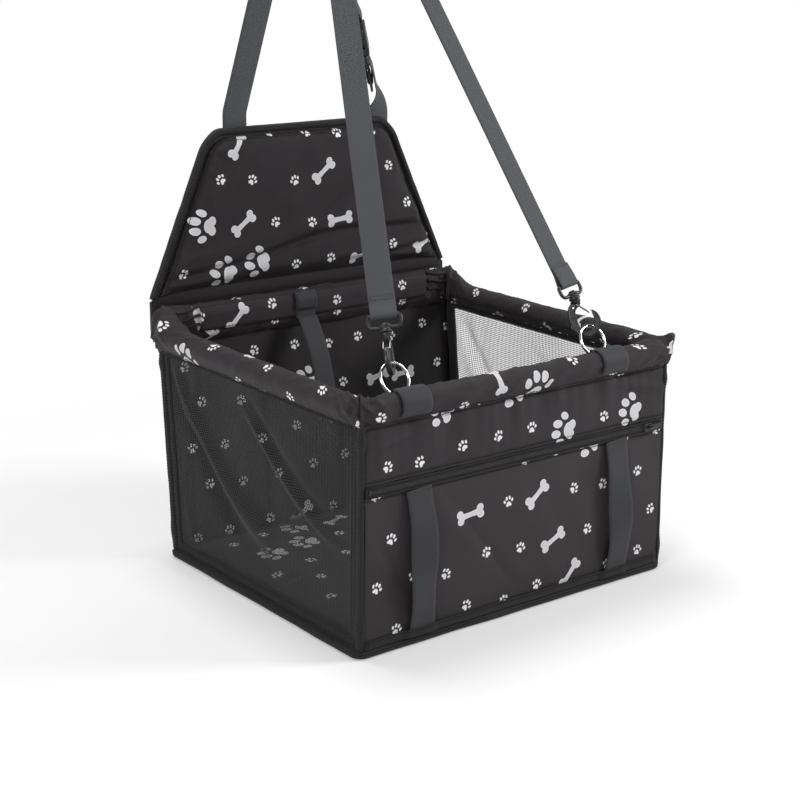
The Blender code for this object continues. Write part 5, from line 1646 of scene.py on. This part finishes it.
def hookArm(name, place):
    spine = []
    for x, z, w in hook["line"]:
        spine.append(Vector((bowlLine * x, hook["armWidth"] / 2 * w, bowlMiddle + bowlLine * z)))
    path = smoothPath(spine, 9)
    count = len(path) - 1
    loops = []
    for k, point in enumerate(path):
        before, after = path[max(k - 1, 0)], path[min(k + 1, count)]
        run = Vector((after.x - before.x, after.z - before.z)).normalized()
        normal = Vector((run.y, -run.x))
        share = k / count
        ridge = 0.00042 * (k % 2) if 0.12 < share < 0.46 else 0.0
        swell = 1.0 - 0.45 * max(0.0, (share - 0.94) / 0.06) ** 2
        half = point.y * swell
        fullness = 0.0006 * ease(share / 0.25 - 0.4) * ease((0.86 - share) / 0.1)
        deep = (hook["thickness"] / 2 + fullness) * swell
        fuller = 0.0015 * ease((share - 0.02) / 0.1) * ease((0.97 - share) / 0.15)
        loop = []
        for a in roundAngles(24):
            outward, sideways = squaredOff(a, 0.55)
            reachOut = (half + ((ridge + fuller) if outward > 0 else 0.0)) * outward
            x, z = point.x + normal.x * reachOut, point.z + normal.y * reachOut
            # A shallow groove runs down both faces of the arm, as a moulded hook has
            groove = 0.00035 * near(outward, 0.0, 0.45) * (1 if 0.16 < share < 0.86 else 0)
            loop.append(place.at(x, (deep - groove) * sideways, z))
        loops.append(loop)
    # The tip closes in a blunt round nose
    middle = sum(loops[-1], Vector()) / 24
    ahead = (middle - sum(loops[-2], Vector()) / 24).normalized()
    inward = (place.at(0, 0, bowlMiddle) - middle).normalized()
    inward = (inward - ahead * inward.dot(ahead)).normalized()
    last = loops[-1]
    for shrink, step, aside in hook["nose"]:
        loops.append([middle + (p - middle) * shrink + ahead * step + inward * aside for p in last])
    return loft(name, loops, blackPlastic)


def gripHoles(piece, place):
    # Three small holes through the upper arm
    for x, z in hook["holes"]:
        line = [place.at(bowlLine * x, y, bowlMiddle + bowlLine * z) for y in (-0.004, 0.004)]
        tool = rod("hole", line, hook["holeRadius"], blackPlastic, 16)
        cut = piece.modifiers.new("hole", "BOOLEAN")
        cut.operation = "DIFFERENCE"
        cut.object = tool
        settled(piece)
        bpy.data.objects.remove(tool, do_unlink=True)


def snapHook(prefix, place, turn, width, bodies):
    # bodies are those of the eye, the hook and its gate
    half = width / 2 + hook["eyePlay"] + hook["eyeWire"] / 2
    outline = ((half, eyeHigh), (-half, eyeHigh), (-half, eyeLow), (half, eyeLow))
    corners = [Vector((x, 0, z)) for x, z in outline]
    path = roundedPath(corners, (0.0034, 0.0034, 0.0062, 0.0062), 8, closed=True)
    path = [place.at(*point) for point in path]
    eye = rod(prefix + "_eye_loop", path, hook["eyeWire"] / 2, blackPlastic, 18, closed=True)
    r, h = hook["collarRadius"], hook["collarHeight"]
    collar = turnedPart(
        "collar",
        place,
        [
            (r * 0.40, collarHead - h * 0.02),
            (r * 0.80, collarHead),
            (r * 0.96, collarHead - h * 0.07),
            (r, collarHead - h * 0.16),
            (r * 0.97, collarHead - h * 0.28),
            (hook["collarWaist"], collarHead - h * 0.38),
            (hook["collarWaist"], collarFoot + h * 0.44),
            (r * 0.98, collarFoot + h * 0.33),
            (r, collarFoot + h * 0.20),
            (r * 0.94, collarFoot + h * 0.06),
            (r * 0.80, collarFoot),
            (r * 0.40, collarFoot + h * 0.02),
        ],
        blackPlastic,
    )
    onBody(joined(prefix + "_eye_detail", [eye, collar]), bodies[0], "black_plastic", prefix + "_eye")

    own = place.turned(turn)
    arm = hookArm(prefix + "_arm", own)
    gripHoles(arm, own)
    headFoot = collarHead + box["gap"]
    pin = turnedPart(
        "pin",
        own,
        [
            (0.0008, headFoot + 0.00165),
            (0.0022, headFoot + 0.0015),
            (0.0031, headFoot + 0.0010),
            (0.0034, headFoot + 0.0004),
            (0.0033, headFoot),
            (0.0019, headFoot),
            (0.0019, hook["length"]),
            (0.0030, hook["length"] - 0.0002),
            (0.0032, hook["length"] - 0.0012),
            (0.0028, hook["length"] - 0.0040),
        ],
        blackPlastic,
    )
    # The neck runs from a round head into the flat arm
    turns = roundAngles(24)
    loops = []
    for height, across, deep in hook["neck"]:
        loops.append([own.at(across * math.cos(a) - 0.0006, deep * math.sin(a), height) for a in turns])
    neck = loft("neck", loops, blackPlastic)
    body = joined(prefix + "_body_detail", [arm, pin, neck])
    onBody(body, bodies[1], "black_plastic", prefix + "_body")

    # The gate is a bent spring wire with both ends in the head of the arm
    tipX, tipZ, tipW = hook["line"][-1]
    radius = hook["gateWire"] / 2
    sideReach = hook["headWidth"] / 2 + box["gap"] + radius
    pivotX, pivotZ = hook["pivotOffset"], hook["length"] - hook["pivotDrop"]
    inside = hook["armWidth"] * tipW * (0.5 + hook["noseShare"])
    dropX = bowlLine * tipX - inside - box["gap"] - radius
    dropZ = bowlMiddle + bowlLine * tipZ
    corners = [
        (pivotX, 0.0004, pivotZ),
        (pivotX, sideReach, pivotZ),
        (dropX, sideReach, dropZ),
        (dropX, -sideReach, dropZ),
        (pivotX, -sideReach, pivotZ),
        (pivotX, -0.0004, pivotZ),
    ]
    path = roundedPath([own.at(*corner) for corner in corners], [hook["gateBend"]] * 6, 6)
    gate = rod(prefix + "_gate_wire", path, radius * 1.15, springWire, 12)
    onBody(gate, bodies[2], "chrome", prefix + "_gate")


def strapTurn(height, barRadius, tailSide):
    # Middle line of webbing that ends in a fold round a bar, as pairs of out and along
    s = strapSizes
    wrap = barRadius + box["gap"] + s["thickness"] / 2
    layer = (s["thickness"] + s["layerGap"]) / 2
    points = []
    for t in shares(10):
        outward = layer + (wrap - layer) * ease(t)
        up = s["overlap"] + (s["closing"] - s["overlap"]) * min(2 * t, 1) - s["closing"] * max(2 * t - 1, 0)
        points.append((tailSide * outward, height + up))
    for n in range(1, 16):
        a = math.pi * n / 16
        points.append((tailSide * wrap * math.cos(a), height - wrap * math.sin(a)))
    for t in shares(5):
        points.append((-tailSide * (wrap + (layer - wrap) * ease(t)), height + s["closing"] * t))
    return points


def riseToApex(start, heading, apex, fromSide, steps):
    end = apex + Vector((fromSide * strapSizes["layerGap"], 0, 0))
    first = start + heading * (end - start).length * 0.7
    second = end + Vector((fromSide * strapSizes["apexBend"], 0, 0))
    return [bowedAt(start, first, second, end, 1 - (1 - t) ** 2) for t in shares(steps)[1:]]


def turning(first, second, startAngle, endAngle, steps, startShare, endShare):
    found = []
    for share in shares(steps)[1:]:
        t = ease((share - startShare) / (endShare - startShare))
        angle = startAngle + (endAngle - startAngle) * t
        found.append(first * math.cos(angle) + second * math.sin(angle))
    return found


def sewnBox(place, out, low, high, half):
    # Stitch lines of the sewn tail: a rectangle on each face of the doubled webbing
    corners = [(-half, low), (half, low), (half, high), (-half, high), (-half, low)]
    return [[place.at(x, y, z) for x, z in throughCorners(corners)] for y in (out, -out)]


for sideName, strapTurned, hookTurned in (
    ("left", math.radians(-36), math.pi + math.radians(45)),
    ("right", math.radians(4), math.radians(-45)),
):
    x = tabPlaces[sideName]
    place = legPlace(x, strapTurned)
    prefix, leg = "hook_" + sideName, "shoulder_strap_" + sideName
    bodies = ("shoulder_strap", prefix, prefix + "_gate")
    snapHook(prefix, place, hookTurned - strapTurned, strapSizes["width"], bodies)
    fromSide = math.copysign(1, x)
    points = [place.at(0, out, along) for out, along in strapTurn(eyeHigh, hook["eyeWire"] / 2, -fromSide)]
    layer = fromSide * (strapSizes["thickness"] + strapSizes["layerGap"]) / 2
    run = (strapSizes["apex"] - place.origin).length
    starts = eyeHigh + strapSizes["overlap"]
    for t in shares(30)[1:]:
        points.append(place.at(0, layer * (1 - ease(t)), starts + (run * 0.68 - starts) * t))
    sides = [place.across] * len(points)
    points += riseToApex(points[-1], place.along, strapSizes["apex"], fromSide, 36)
    level = place.turned(-strapTurned)
    sides += turning(level.across, Vector((0, 1, 0)), strapTurned, -math.pi / 2, 36, 0.0, 0.8)
    piece = strap(leg + "_webbing", points, sides, strapSizes["width"], strapSizes["thickness"], webbing)
    onBody(piece, "shoulder_strap", "grey_webbing", leg)
    outer = strapSizes["thickness"] + strapSizes["layerGap"] / 2 + 0.0001
    lines = sewnBox(place, -fromSide * outer, eyeHigh + 0.0150, eyeHigh + 0.0195, 0.0105)
    sewn = stitches(leg + "_stitching", lines, threadGrey, 0.0024, 0.0009, 0.0003)
    onBody(sewn, "shoulder_strap", "grey_webbing")
print("hooks and shoulder strap made")


# The back panel: padding, board, rear cloth, edge binding and the strip that it folds on

panel = {
    "top": 0.443,
    "topWidth": 0.236,
    "bottomWidth": 0.392,
    "corner": 0.024,
    "lean": 0.006,
    "fold": 0.2695,
    "tape": 0.0035,
    "tapeAcross": 0.0036,
    "tapeThrough": 0.0046,
    "padEdge": 0.0015,
    "padMost": 0.0130,
    "board": 0.0022,
    "rearCloth": 0.001,
    "quiltInset": 0.0078,
    "quiltDepth": 0.0020,
    "voxel": 0.0036,
    "pressure": 6.0,
    "cap": 0.0055,
}
panelFront = box["rimRear"] + box["sleeveRadius"] + box["gap"]
panelDepth = panel["padEdge"] + panel["board"] + panel["rearCloth"] + 2 * box["gap"]
panelFoot = panel["fold"] + 0.0036
foldY = panelFront + panelDepth / 2


def panelHalf(height):
    share = (height - panel["fold"]) / (panel["top"] - panel["fold"])
    half = (panel["bottomWidth"] + (panel["topWidth"] - panel["bottomWidth"]) * share) / 2
    over = height - (panel["top"] - panel["corner"])
    if over > 0:
        over = min(over, panel["corner"])
        half -= panel["corner"] - math.sqrt(panel["corner"] ** 2 - over**2)
    return half - panel["tape"]


def panelY(height):
    return panelFront + panel["lean"] * max(0.0, (height - panelFoot) / (panel["top"] - panelFoot))


def panelSide(inset, step):
    # Up the left side, over the top and down the right, on the line inside the edge binding
    head = panel["top"] - panel["tape"]
    shoulder = head - panel["corner"] + panel["tape"]
    heights = [panelFoot + (shoulder - panelFoot) * n / 24 for n in range(24)]
    heights += [shoulder + (head - shoulder) * math.sin(math.pi / 2 * n / 10) for n in range(11)]
    line = [Vector((-panelHalf(z), panelY(z), z)) for z in heights]
    line += [Vector((-p.x, p.y, p.z)) for p in reversed(line)]
    line = spaced(line, step)
    moved = []
    for point, along in zip(line, directions(line)):
        outward = along.cross(Vector((0, 1, 0))).normalized()
        moved.append(point - outward * inset)
    return moved, line


inside, _ = panelSide(-0.0006, 0.012)
outline = [Vector((p.x, panelY(p.z) + 0.0010, p.z)) for p in inside]
padding = slab("panel_padding_cushion", outline, None, (0, -0.0050, 0), panelPrint)
remeshed(padding, panel["voxel"])
swelled(padding, panel["pressure"], panel["cap"])
smoothed(padding)


def panelFolds(x, z):
    # How far the padding is drawn back: a long soft crease that rises from the left, and small ones
    up = (z - panelFoot) / (panel["top"] - panelFoot)
    u = x / 0.19
    first = 0.100 + 0.180 * ease((u + 1) / 1.25) + 0.010 * math.sin(6 * u)
    drawn = 0.0052 * near(up, first, 0.030) - 0.0040 * near(up, first + 0.080, 0.055)
    branch = up - first - 0.05 - 0.9 * (u - 0.02)
    within = ease((0.24 - abs(up - first - 0.11)) * 6) * ease((0.4 - abs(u - 0.08)) * 5)
    drawn += 0.0020 * near(branch, 0.0, 0.05) * within
    second = 0.080 + 0.06 * ease((u - 0.3) / 0.7)
    drawn += 0.0034 * near(up, second, 0.022) * ease((u - 0.15) * 4)
    drawn -= 0.0026 * near(up, second + 0.045, 0.025) * ease((u - 0.15) * 4)
    drawn += 0.0018 * near(up - 0.80 - 0.55 * (u + 0.45), 0.0, 0.06) * ease((0.1 - u) * 4)
    drawn += 0.0013 * folds(x, z, 101.0, 0.045)
    return drawn


for vert in padding.data.vertices:
    x, y, z = vert.co
    back = panelY(z) + panel["padEdge"] - 0.0002
    depth = back - y
    if depth > 0.0025:
        beside = panelHalf(clampTo(z, panelFoot, panel["top"] - panel["tapeAcross"])) - abs(x)
        edge = min(beside, panel["top"] - z, z - panelFoot)
        y += panelFolds(x, z) * ease(edge / 0.022) * ease((depth - 0.0025) / 0.002)
        y += panel["quiltDepth"] * near(edge, panel["quiltInset"], 0.0028)
    vert.co = Vector((x, clampTo(y, back - panel["padMost"], back), z))
onBody(padding, "back_panel", "printed_cloth", "panel_padding")


def rearSheetPlace(u, v):
    head = panel["top"] - panel["tape"]
    z = panelFoot + (head - panelFoot) * (1 - (1 - v) ** 1.25)
    x = (2 * u - 1) * panelHalf(z)
    ripple = 0.0005 * folds(x, z, 111.0, 0.05) * arch(u) * arch(v)
    return Vector((x, panelY(z) + panelDepth - 0.0005 + ripple, z))


rearSheet = clothGrid(
    "panel_rear_sheet", 60, 44, rearSheetPlace, flatAt(0.3, 0.17), liningCloth, panel["rearCloth"]
)
onBody(rearSheet, "back_panel", "printed_cloth", "panel_rear_cloth")

_, edgeLine = panelSide(0.0, 0.004)
loops = []
count = len(edgeLine)
for k, (point, along) in enumerate(zip(edgeLine, directions(edgeLine))):
    if k in (0, count - 1):
        along = Vector((0, 0, 1 if k == 0 else -1))
    outward = along.cross(Vector((0, 1, 0))).normalized()
    deep = outward.cross(along).normalized()
    pucker = 0.0006 * noise.noise(Vector((k * 0.21, 3, 0)))
    centre = point + outward * (0.0008 + pucker * 0.5) + Vector((0, panelDepth / 2, 0))
    loop = []
    for a in roundAngles(20):
        across, through = squaredOff(a, 0.6)
        through *= panel["tapeThrough"] + pucker
        loop.append(centre + outward * (panel["tapeAcross"] * across) + deep * through)
    loops.append(loop)
onBody(loft("panel_edge_binding", loops, tapeCloth), "back_panel", "black_tape", "panel_edge_tape")
padFaces = [face.vertices for face in padding.data.polygons]
surface = BVHTree.FromPolygons([vert.co for vert in padding.data.vertices], padFaces)
quiltLine, _ = panelSide(panel["quiltInset"], 0.004)
quilt = []
for point in quiltLine:
    hit, _, _, _ = surface.ray_cast(Vector((point.x, 0.1, point.z)), Vector((0, 1, 0)))
    if hit:
        quilt.append(hit + Vector((0, -0.0003, 0)))
bindingLine, _ = panelSide(0.0010, 0.006)
lines = [quilt]
for face in (-1, 1):
    lines.append([p + Vector((0, panelDepth / 2 + face * 0.0049, 0)) for p in bindingLine])
onBody(stitches("panel_edge_stitching", lines, pitch=0.0040), "back_panel", "black_tape")


stripShape = {
    "low": 0.2195,
    "high": 0.2700,
    "foot": 0.219,
    "half": 0.1955,
    "thickness": 0.0044,
    "seams": (0.2245, 0.2300, 0.2640),
    "rollHalf": 0.1920,
    "rollRadius": 0.0028,
    "hingeHalf": 0.1922,
    "hingeRadius": 0.0088,
}


def stripPlace(u, v):
    z = stripShape["low"] + (stripShape["high"] - stripShape["low"]) * v
    half = stripShape["half"]
    under = min(stripShape["foot"] + panel["corner"] - z, panel["corner"])
    if under > 0:
        half -= panel["corner"] - math.sqrt(panel["corner"] ** 2 - under**2)
    x = (2 * u - 1) * half
    puff = 0.0007 * folds(x, z, 121.0, 0.03)
    return Vector((x, foldY + puff * arch(v), z))


def acrossPanel(half, y, z, steps):
    return [Vector((half * (2 * t - 1), y, z)) for t in shares(steps)]


strip = clothGrid(
    "panel_strip_cloth", 110, 16, stripPlace, flatAt(0.39, 0.05), plainPrint, stripShape["thickness"]
)
roll = []
for point in acrossPanel(stripShape["rollHalf"], foldY, panel["fold"], 98):
    wobble = 0.0002 * noise.noise(Vector((point.x * 70, 2, 2)))
    roll.append(point + Vector((0, wobble, wobble)))
rollPiece = rod("roll", roll, stripShape["rollRadius"], plainPrint, 16, up=Vector((0, 0, 1)))
strip = joined("panel_strip_detail", [strip, rollPiece])
onBody(strip, "rim", "printed_cloth", "panel_lower_strip")
lines = []
for z in stripShape["seams"]:
    share = (z - stripShape["low"]) / (stripShape["high"] - stripShape["low"])
    half = stripPlace(1.0, share).x - 0.004
    for face in (-1, 1):
        lines.append(acrossPanel(half, foldY + face * 0.0024, z, 90))
onBody(stitches("panel_strip_stitching", lines, pitch=0.0040), "rim", "printed_cloth")

# The cloth that joins the panel to the strip
line = acrossPanel(stripShape["hingeHalf"], foldY, panel["fold"] + 0.0006, 90)
radius = stripShape["hingeRadius"]
hinge = rod("panel_hinge_cloth", line, radius, plainPrint, 24, flatten=0.42, up=Vector((0, 0, 1)))
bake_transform(hinge)
print("back panel made")


# The headrest straps, sewn on the back of the panel

headrest = {"left": -0.081, "right": 0.108, "rootRun": 0.028, "tapeDepth": 0.0085}
clasp = {
    "turn": math.radians(52),
    "away": 0.062,
    "bar": 0.0018,
    "barHalf": 0.0016,
    "loop": 0.0070,
    "head": 0.0040,
    "shell": 0.030,
    "travel": 0.025,
    "glideAway": 0.006,
    "glideHalf": 0.0062,
    "glideEnd": 0.0052,
    "glideBar": (0.0026, 0.0024),
}
stand = box["gap"] + strapSizes["thickness"] / 2
tapeClear = panelY(panel["top"]) + panelDepth / 2 + headrest["tapeDepth"] / 2


def strapRoot(x):
    foot = panel["top"] - panel["corner"] - panel["tape"]
    low = foot - headrest["rootRun"]
    clear = tapeClear + stand + 0.0006
    return [
        Vector((x, panelY(low) + panelDepth + stand, low)),
        Vector((x, panelY(foot) + panelDepth + stand, foot)),
        Vector((x, clear, foot + 3 * panel["tape"])),
        Vector((x, clear, panel["top"] + panel["tape"] / 2)),
    ]


def rootStitches(x):
    # A rectangle and its diagonal through the sewn foot of a strap
    low, foot = strapRoot(x)[:2]
    place = Place(low, Vector((1, 0, 0)), foot - low)
    half, start, end = 0.0125, 0.002, 0.024
    corners = [(-half, start), (half, start), (half, end), (-half, end), (-half, start), (half, end)]
    return [place.at(side, -0.0009, up) + Vector((0, 0.0018, 0)) for side, up in throughCorners(corners)]


def headrestStrap(name, points, sides):
    width, thickness = strapSizes["headrestWidth"], strapSizes["thickness"]
    piece = strap(name + "_webbing", points, sides, width, thickness, webbing)
    return onBody(piece, "back_panel", "grey_webbing", name)


apex, apexBend = strapSizes["headrestApex"], strapSizes["apexBend"]
leftRoot = strapRoot(headrest["left"])
start = leftRoot[-1] + Vector((0, 0, 0.014))
points = smoothPath(leftRoot + [start], 6)
heading = (apex - Vector((apexBend, 0, apexBend)) - start).normalized()
sides = [Vector((1, 0, 0))] * len(points)
points += riseToApex(start, heading, apex, -1, 40)
sides += turning(Vector((1, 0, 0)), Vector((0, 1, 0)), 0, math.pi / 2, 40, 0.2, 0.85)
headrestStrap("headrest_strap_left", points, sides)
lines = [rootStitches(headrest["left"]), rootStitches(headrest["right"])]
sewn = stitches("headrest_root_stitching", lines, threadGrey, 0.0026, 0.0010, 0.0003)
onBody(sewn, "back_panel", "grey_webbing")

rightRoot = strapRoot(headrest["right"])
rightTop = Vector((headrest["right"], tapeClear + stand, panel["top"] + panel["tape"] / 2))
rightHeading = (apex + Vector((apexBend, 0, -apexBend)) - rightTop).normalized()
face = Vector((math.cos(clasp["turn"]), math.sin(clasp["turn"]), 0))
buckle = Place(rightTop + rightHeading * clasp["away"], face, rightHeading)
maleHead = clasp["bar"] + clasp["loop"] + clasp["head"]
shellHead = maleHead + box["gap"] + clasp["shell"]
femaleBar = shellHead + clasp["loop"] + clasp["bar"]
glideMiddle = -(clasp["bar"] + clasp["glideAway"] + clasp["glideHalf"] + 1.5 * clasp["glideBar"][0])
glideReach = clasp["glideHalf"] + clasp["glideEnd"]
barCorner = math.hypot(clasp["bar"], clasp["barHalf"])
glideCorner = math.hypot(*clasp["glideBar"]) / 2

layer = glideCorner + box["gap"] + strapSizes["thickness"] / 2
backLayer = layer + strapSizes["thickness"] + strapSizes["layerGap"]
wrap = barCorner + box["gap"] + strapSizes["thickness"] / 2
points = smoothPath(rightRoot, 5)
sides = [Vector((1, 0, 0))] * len(points)
target = buckle.at(0, -backLayer, glideMiddle - glideReach)
start = points[-1]
handle = (target - start).length / 3
first, second = start + Vector((0, 0, handle)), target - buckle.along * handle
for t in shares(14)[1:]:
    points.append(bowedAt(start, first, second, target, t))
    turn = clasp["turn"] * ease(t)
    sides.append(Vector((math.cos(turn), math.sin(turn), 0)))
run = [(-backLayer, glideMiddle), (-backLayer, glideMiddle + glideReach)]
run += [(-wrap * math.cos(math.pi * t), wrap * math.sin(math.pi * t)) for t in shares(14)]
run += [(layer, glideMiddle + 0.0088), (layer, glideMiddle)]
for t in shares(12)[1:-1]:
    run.append((layer * math.cos(math.pi * t), glideMiddle - layer * math.sin(math.pi * t)))
run += [(-layer, glideMiddle), (-layer, glideMiddle + clasp["glideHalf"])]
for out, along in run:
    points.append(buckle.at(0, out, along))
    sides.append(buckle.across)
headrestStrap("headrest_strap_right", points, sides)

points = [buckle.at(0, out, along) for out, along in strapTurn(femaleBar, barCorner, 1)]
layer = -(strapSizes["thickness"] + strapSizes["layerGap"]) / 2
for t in shares(8)[1:]:
    points.append(buckle.at(0, layer * (1 - ease(t)), femaleBar + strapSizes["overlap"] * (1 + t)))
sides = [buckle.across] * len(points)
points += riseToApex(points[-1], rightHeading, apex, 1, 36)
sides += turning(Vector((1, 0, 0)), Vector((0, 1, 0)), clasp["turn"], math.pi / 2, 36, 0.0, 0.85)
upperStrap = headrestStrap("headrest_strap_upper", points, sides)
span = (apex - buckle.at(0, 0, femaleBar)).length
tuple(apex)
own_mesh(upperStrap)
print("headrest straps made")


# The tether in the cabin

tether = {
    "place": -0.020,
    "drop": 0.098,
    "reach": 0.040,
    "width": 0.025,
    "foot": 0.057,
    "keep": 0.123,
}
rearTop = box["rimHeight"] + box["sleeveRadius"] + box["sleeveRise"]
face = box["rimRear"] - box["sleeveRadius"] - box["gap"] - strapSizes["thickness"] / 2
top = rearTop - 0.0035
end = Vector((tether["place"], face - tether["reach"], top - tether["drop"] - strapSizes["overlap"]))
place = Place(end, Vector((-1, 0, 0)), Vector((0, 0, 1)))
points = [place.at(0, out, along) for out, along in strapTurn(0, hook["eyeWire"] / 2, 1)]
curve = smoothPath(
    [
        points[-1],
        place.at(0, -(strapSizes["thickness"] + strapSizes["layerGap"]) / 2, strapSizes["overlap"]),
        Vector((tether["place"], face - tether["reach"] * 0.66, top - tether["drop"] * 0.62)),
        Vector((tether["place"], face - tether["reach"] * 0.16, top - tether["drop"] * 0.28)),
        Vector((tether["place"], face - 0.0014, box["rimHeight"])),
        Vector((tether["place"], face - 0.0014, top)),
    ],
    9,
)
points += curve[1:]
sides = [place.across] * len(points)
piece = strap("tether_webbing", points, sides, tether["width"], strapSizes["thickness"], shadedWebbing)
onBody(piece, "car_seat", "grey_webbing", "tether_strap")
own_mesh(piece)
origin = end - Vector((0, 0, eyeHigh))
hanging = Place(origin, Vector((1, 0, 0)), Vector((0, 0, 1)))
snapHook("tether_hook", hanging, 0, tether["width"], ("tether_end", "tether_hook", "tether_gate"))

# The folded end of the tether, sewn over the patch on the rear sleeve
foldBox = {"low": 0.2465, "high": 0.2650, "half": 0.0135}


def foldPlace(u, v):
    x = tether["place"] + (2 * u - 1) * foldBox["half"]
    z = foldBox["low"] + (foldBox["high"] - foldBox["low"]) * v
    bend = 0.0045 * clampTo((z - 0.2545) / 0.0105, 0, 1) ** 2
    return Vector((x, face - 0.0034 + bend, z))


foldFlat = flatAt(0.025, 0.0185, -0.0125)
foldPiece = clothGrid("tether_fold", 10, 10, foldPlace, foldFlat, shadedWebbing, 0.0016)
onBody(foldPiece, "rim", "grey_webbing")
corners = [(0.08, 0.1), (0.92, 0.1), (0.92, 0.86), (0.08, 0.86), (0.08, 0.1)]
line = [foldPlace(u, v) + Vector((0, -0.0009, 0)) for u, v in throughCorners(corners)]
sewn = stitches("tether_fold_stitching", [line], threadBlack, 0.0026, 0.0010, 0.00034)
onBody(sewn, "rim", "grey_webbing")
print("tether made")


# Pieces carried over from the solids as they are, with finishes of their own

carried = (
    (cardboard, ("base_board", "panel_board")),
    (whiteTube, ["rim_tube_" + sideName for sideName in rimSides]),
    (blackPlastic, ["rim_elbow_%s_%s" % (y, x) for y in ("front", "rear") for x in ("left", "right")]),
    (blackPlastic, ("buckle_female", "buckle_male", "strap_glide", "zip_slider", "zip_pull")),
)
for paint, names in carried:
    for name in names:
        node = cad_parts[name]
        for entry in node.material_slots:
            entry.material = paint
        if not node.material_slots:
            node.data.materials.append(paint)


# Floor, lamps and camera

# The floor shades near the piece and fades to plain white between clear and clear + fade
studio = {"floorTone": 0.88, "clear": 0.34, "fade": 0.46, "least": 0.25, "worldTone": 0.34, "floorSpan": 40.0}
floorPaint = Finish("studio_floor", roughness=0.9)
floorAt = floorPaint.place("object")
fx, fy, _ = floorPaint.axes(floorAt)
grain = floorPaint.blotches(floorAt, 30.0, 2.0)
tone = studio["floorTone"]
floorPaint.set(**{"Base Color": floorPaint.mix(grain, grey(tone), grey(tone + 0.02))})
glow = floorPaint.node("Emission", values={"Color": (1, 1, 1, 1), "Strength": 1.0})
away = ((fx * fx + fy * fy) ** 0.5 - studio["clear"]) / studio["fade"]
rays = floorPaint.node("LightPath").outputs
kinds = ("Is Camera Ray", "Is Glossy Ray", "Is Transmission Ray")
direct, mirrored, through = (Num(floorPaint.tree, rays[kind]) for kind in kinds)
share = away.clamped().most(studio["least"]) * direct.most(mirrored).most(through)
shaders = {0: share, 1: floorPaint.shader.outputs[0], 2: glow.outputs[0]}
blend = floorPaint.node("MixShader", values=shaders)
floorPaint.tree.links.new(blend.outputs[0], floorPaint.tree.nodes["Material Output"].inputs["Surface"])
span = studio["floorSpan"]
floor = fromFaces(
    "studio_floor",
    [Vector((x * span, y * span, -0.0006)) for x, y in ((-1, -1), (1, -1), (1, 1), (-1, 1))],
    [(0, 1, 2, 3)],
    floorPaint.material,
)

world = bpy.data.worlds.new("studio")
scene.world = world
world.use_nodes = True
sky = world.node_tree
plain, white = sky.nodes["Background"], sky.nodes.new("ShaderNodeBackground")
for node, strength in ((plain, studio["worldTone"]), (white, 1.0)):
    node.inputs["Color"].default_value = (1, 1, 1, 1)
    node.inputs["Strength"].default_value = strength
rays = sky.nodes.new("ShaderNodeLightPath").outputs
direct, through = (Num(sky, rays[kind]) for kind in ("Is Camera Ray", "Is Transmission Ray"))
choose = sky.nodes.new("ShaderNodeMixShader")
sky.links.new(direct.most(through).socket, choose.inputs[0])
sky.links.new(plain.outputs[0], choose.inputs[1])
sky.links.new(white.outputs[0], choose.inputs[2])
sky.links.new(choose.outputs[0], sky.nodes["World Output"].inputs["Surface"])

lamps = {
    "key": {"at": (1.70, -1.15, 1.35), "size": 0.7, "power": 34.0},
    "fill": {"at": (-1.90, -0.90, 1.00), "size": 0.9, "power": 20.0},
    "top": {"at": (-0.15, 0.55, 2.20), "size": 0.9, "power": 26.0},
}
for name, lamp in lamps.items():
    data = bpy.data.lights.new(name + "_lamp", "AREA")
    data.shape = "SQUARE"
    data.size = lamp["size"]
    data.energy = lamp["power"]
    made = bpy.data.objects.new(name + "_lamp", data)
    made.location = lamp["at"]
    aim = Vector((0, 0, 0.22)) - Vector(lamp["at"])
    made.rotation_euler = aim.to_track_quat("-Z", "Y").to_euler()
    scene.collection.objects.link(made)

view = {
    "at": (-1.0719, -1.3453, 0.6725),
    "azimuth": -0.66302,
    "elevation": 0.2799,
    "roll": 0.01113,
    "lens": 77.7,
}
azimuth, elevation, roll = view["azimuth"], view["elevation"], view["roll"]
levelPart = math.cos(elevation)
forward = Vector((-math.sin(azimuth) * levelPart, math.cos(azimuth) * levelPart, -math.sin(elevation)))
right = Vector((math.cos(azimuth), math.sin(azimuth), 0))
upward = right.cross(forward)
tiltedRight = right * math.cos(roll) + upward * math.sin(roll)
tiltedUp = tiltedRight.cross(forward)
camera = bpy.data.objects.new("camera", bpy.data.cameras.new("camera"))
camera.data.lens = view["lens"]
camera.data.sensor_width = 36.0
camera.data.clip_end = 100.0
turned = Matrix((tiltedRight, tiltedUp, -forward)).transposed().to_4x4()
camera.matrix_world = Matrix.Translation(view["at"]) @ turned
scene.collection.objects.link(camera)
scene.camera = camera
scene.view_settings.view_transform = "Standard"


print("scene made")
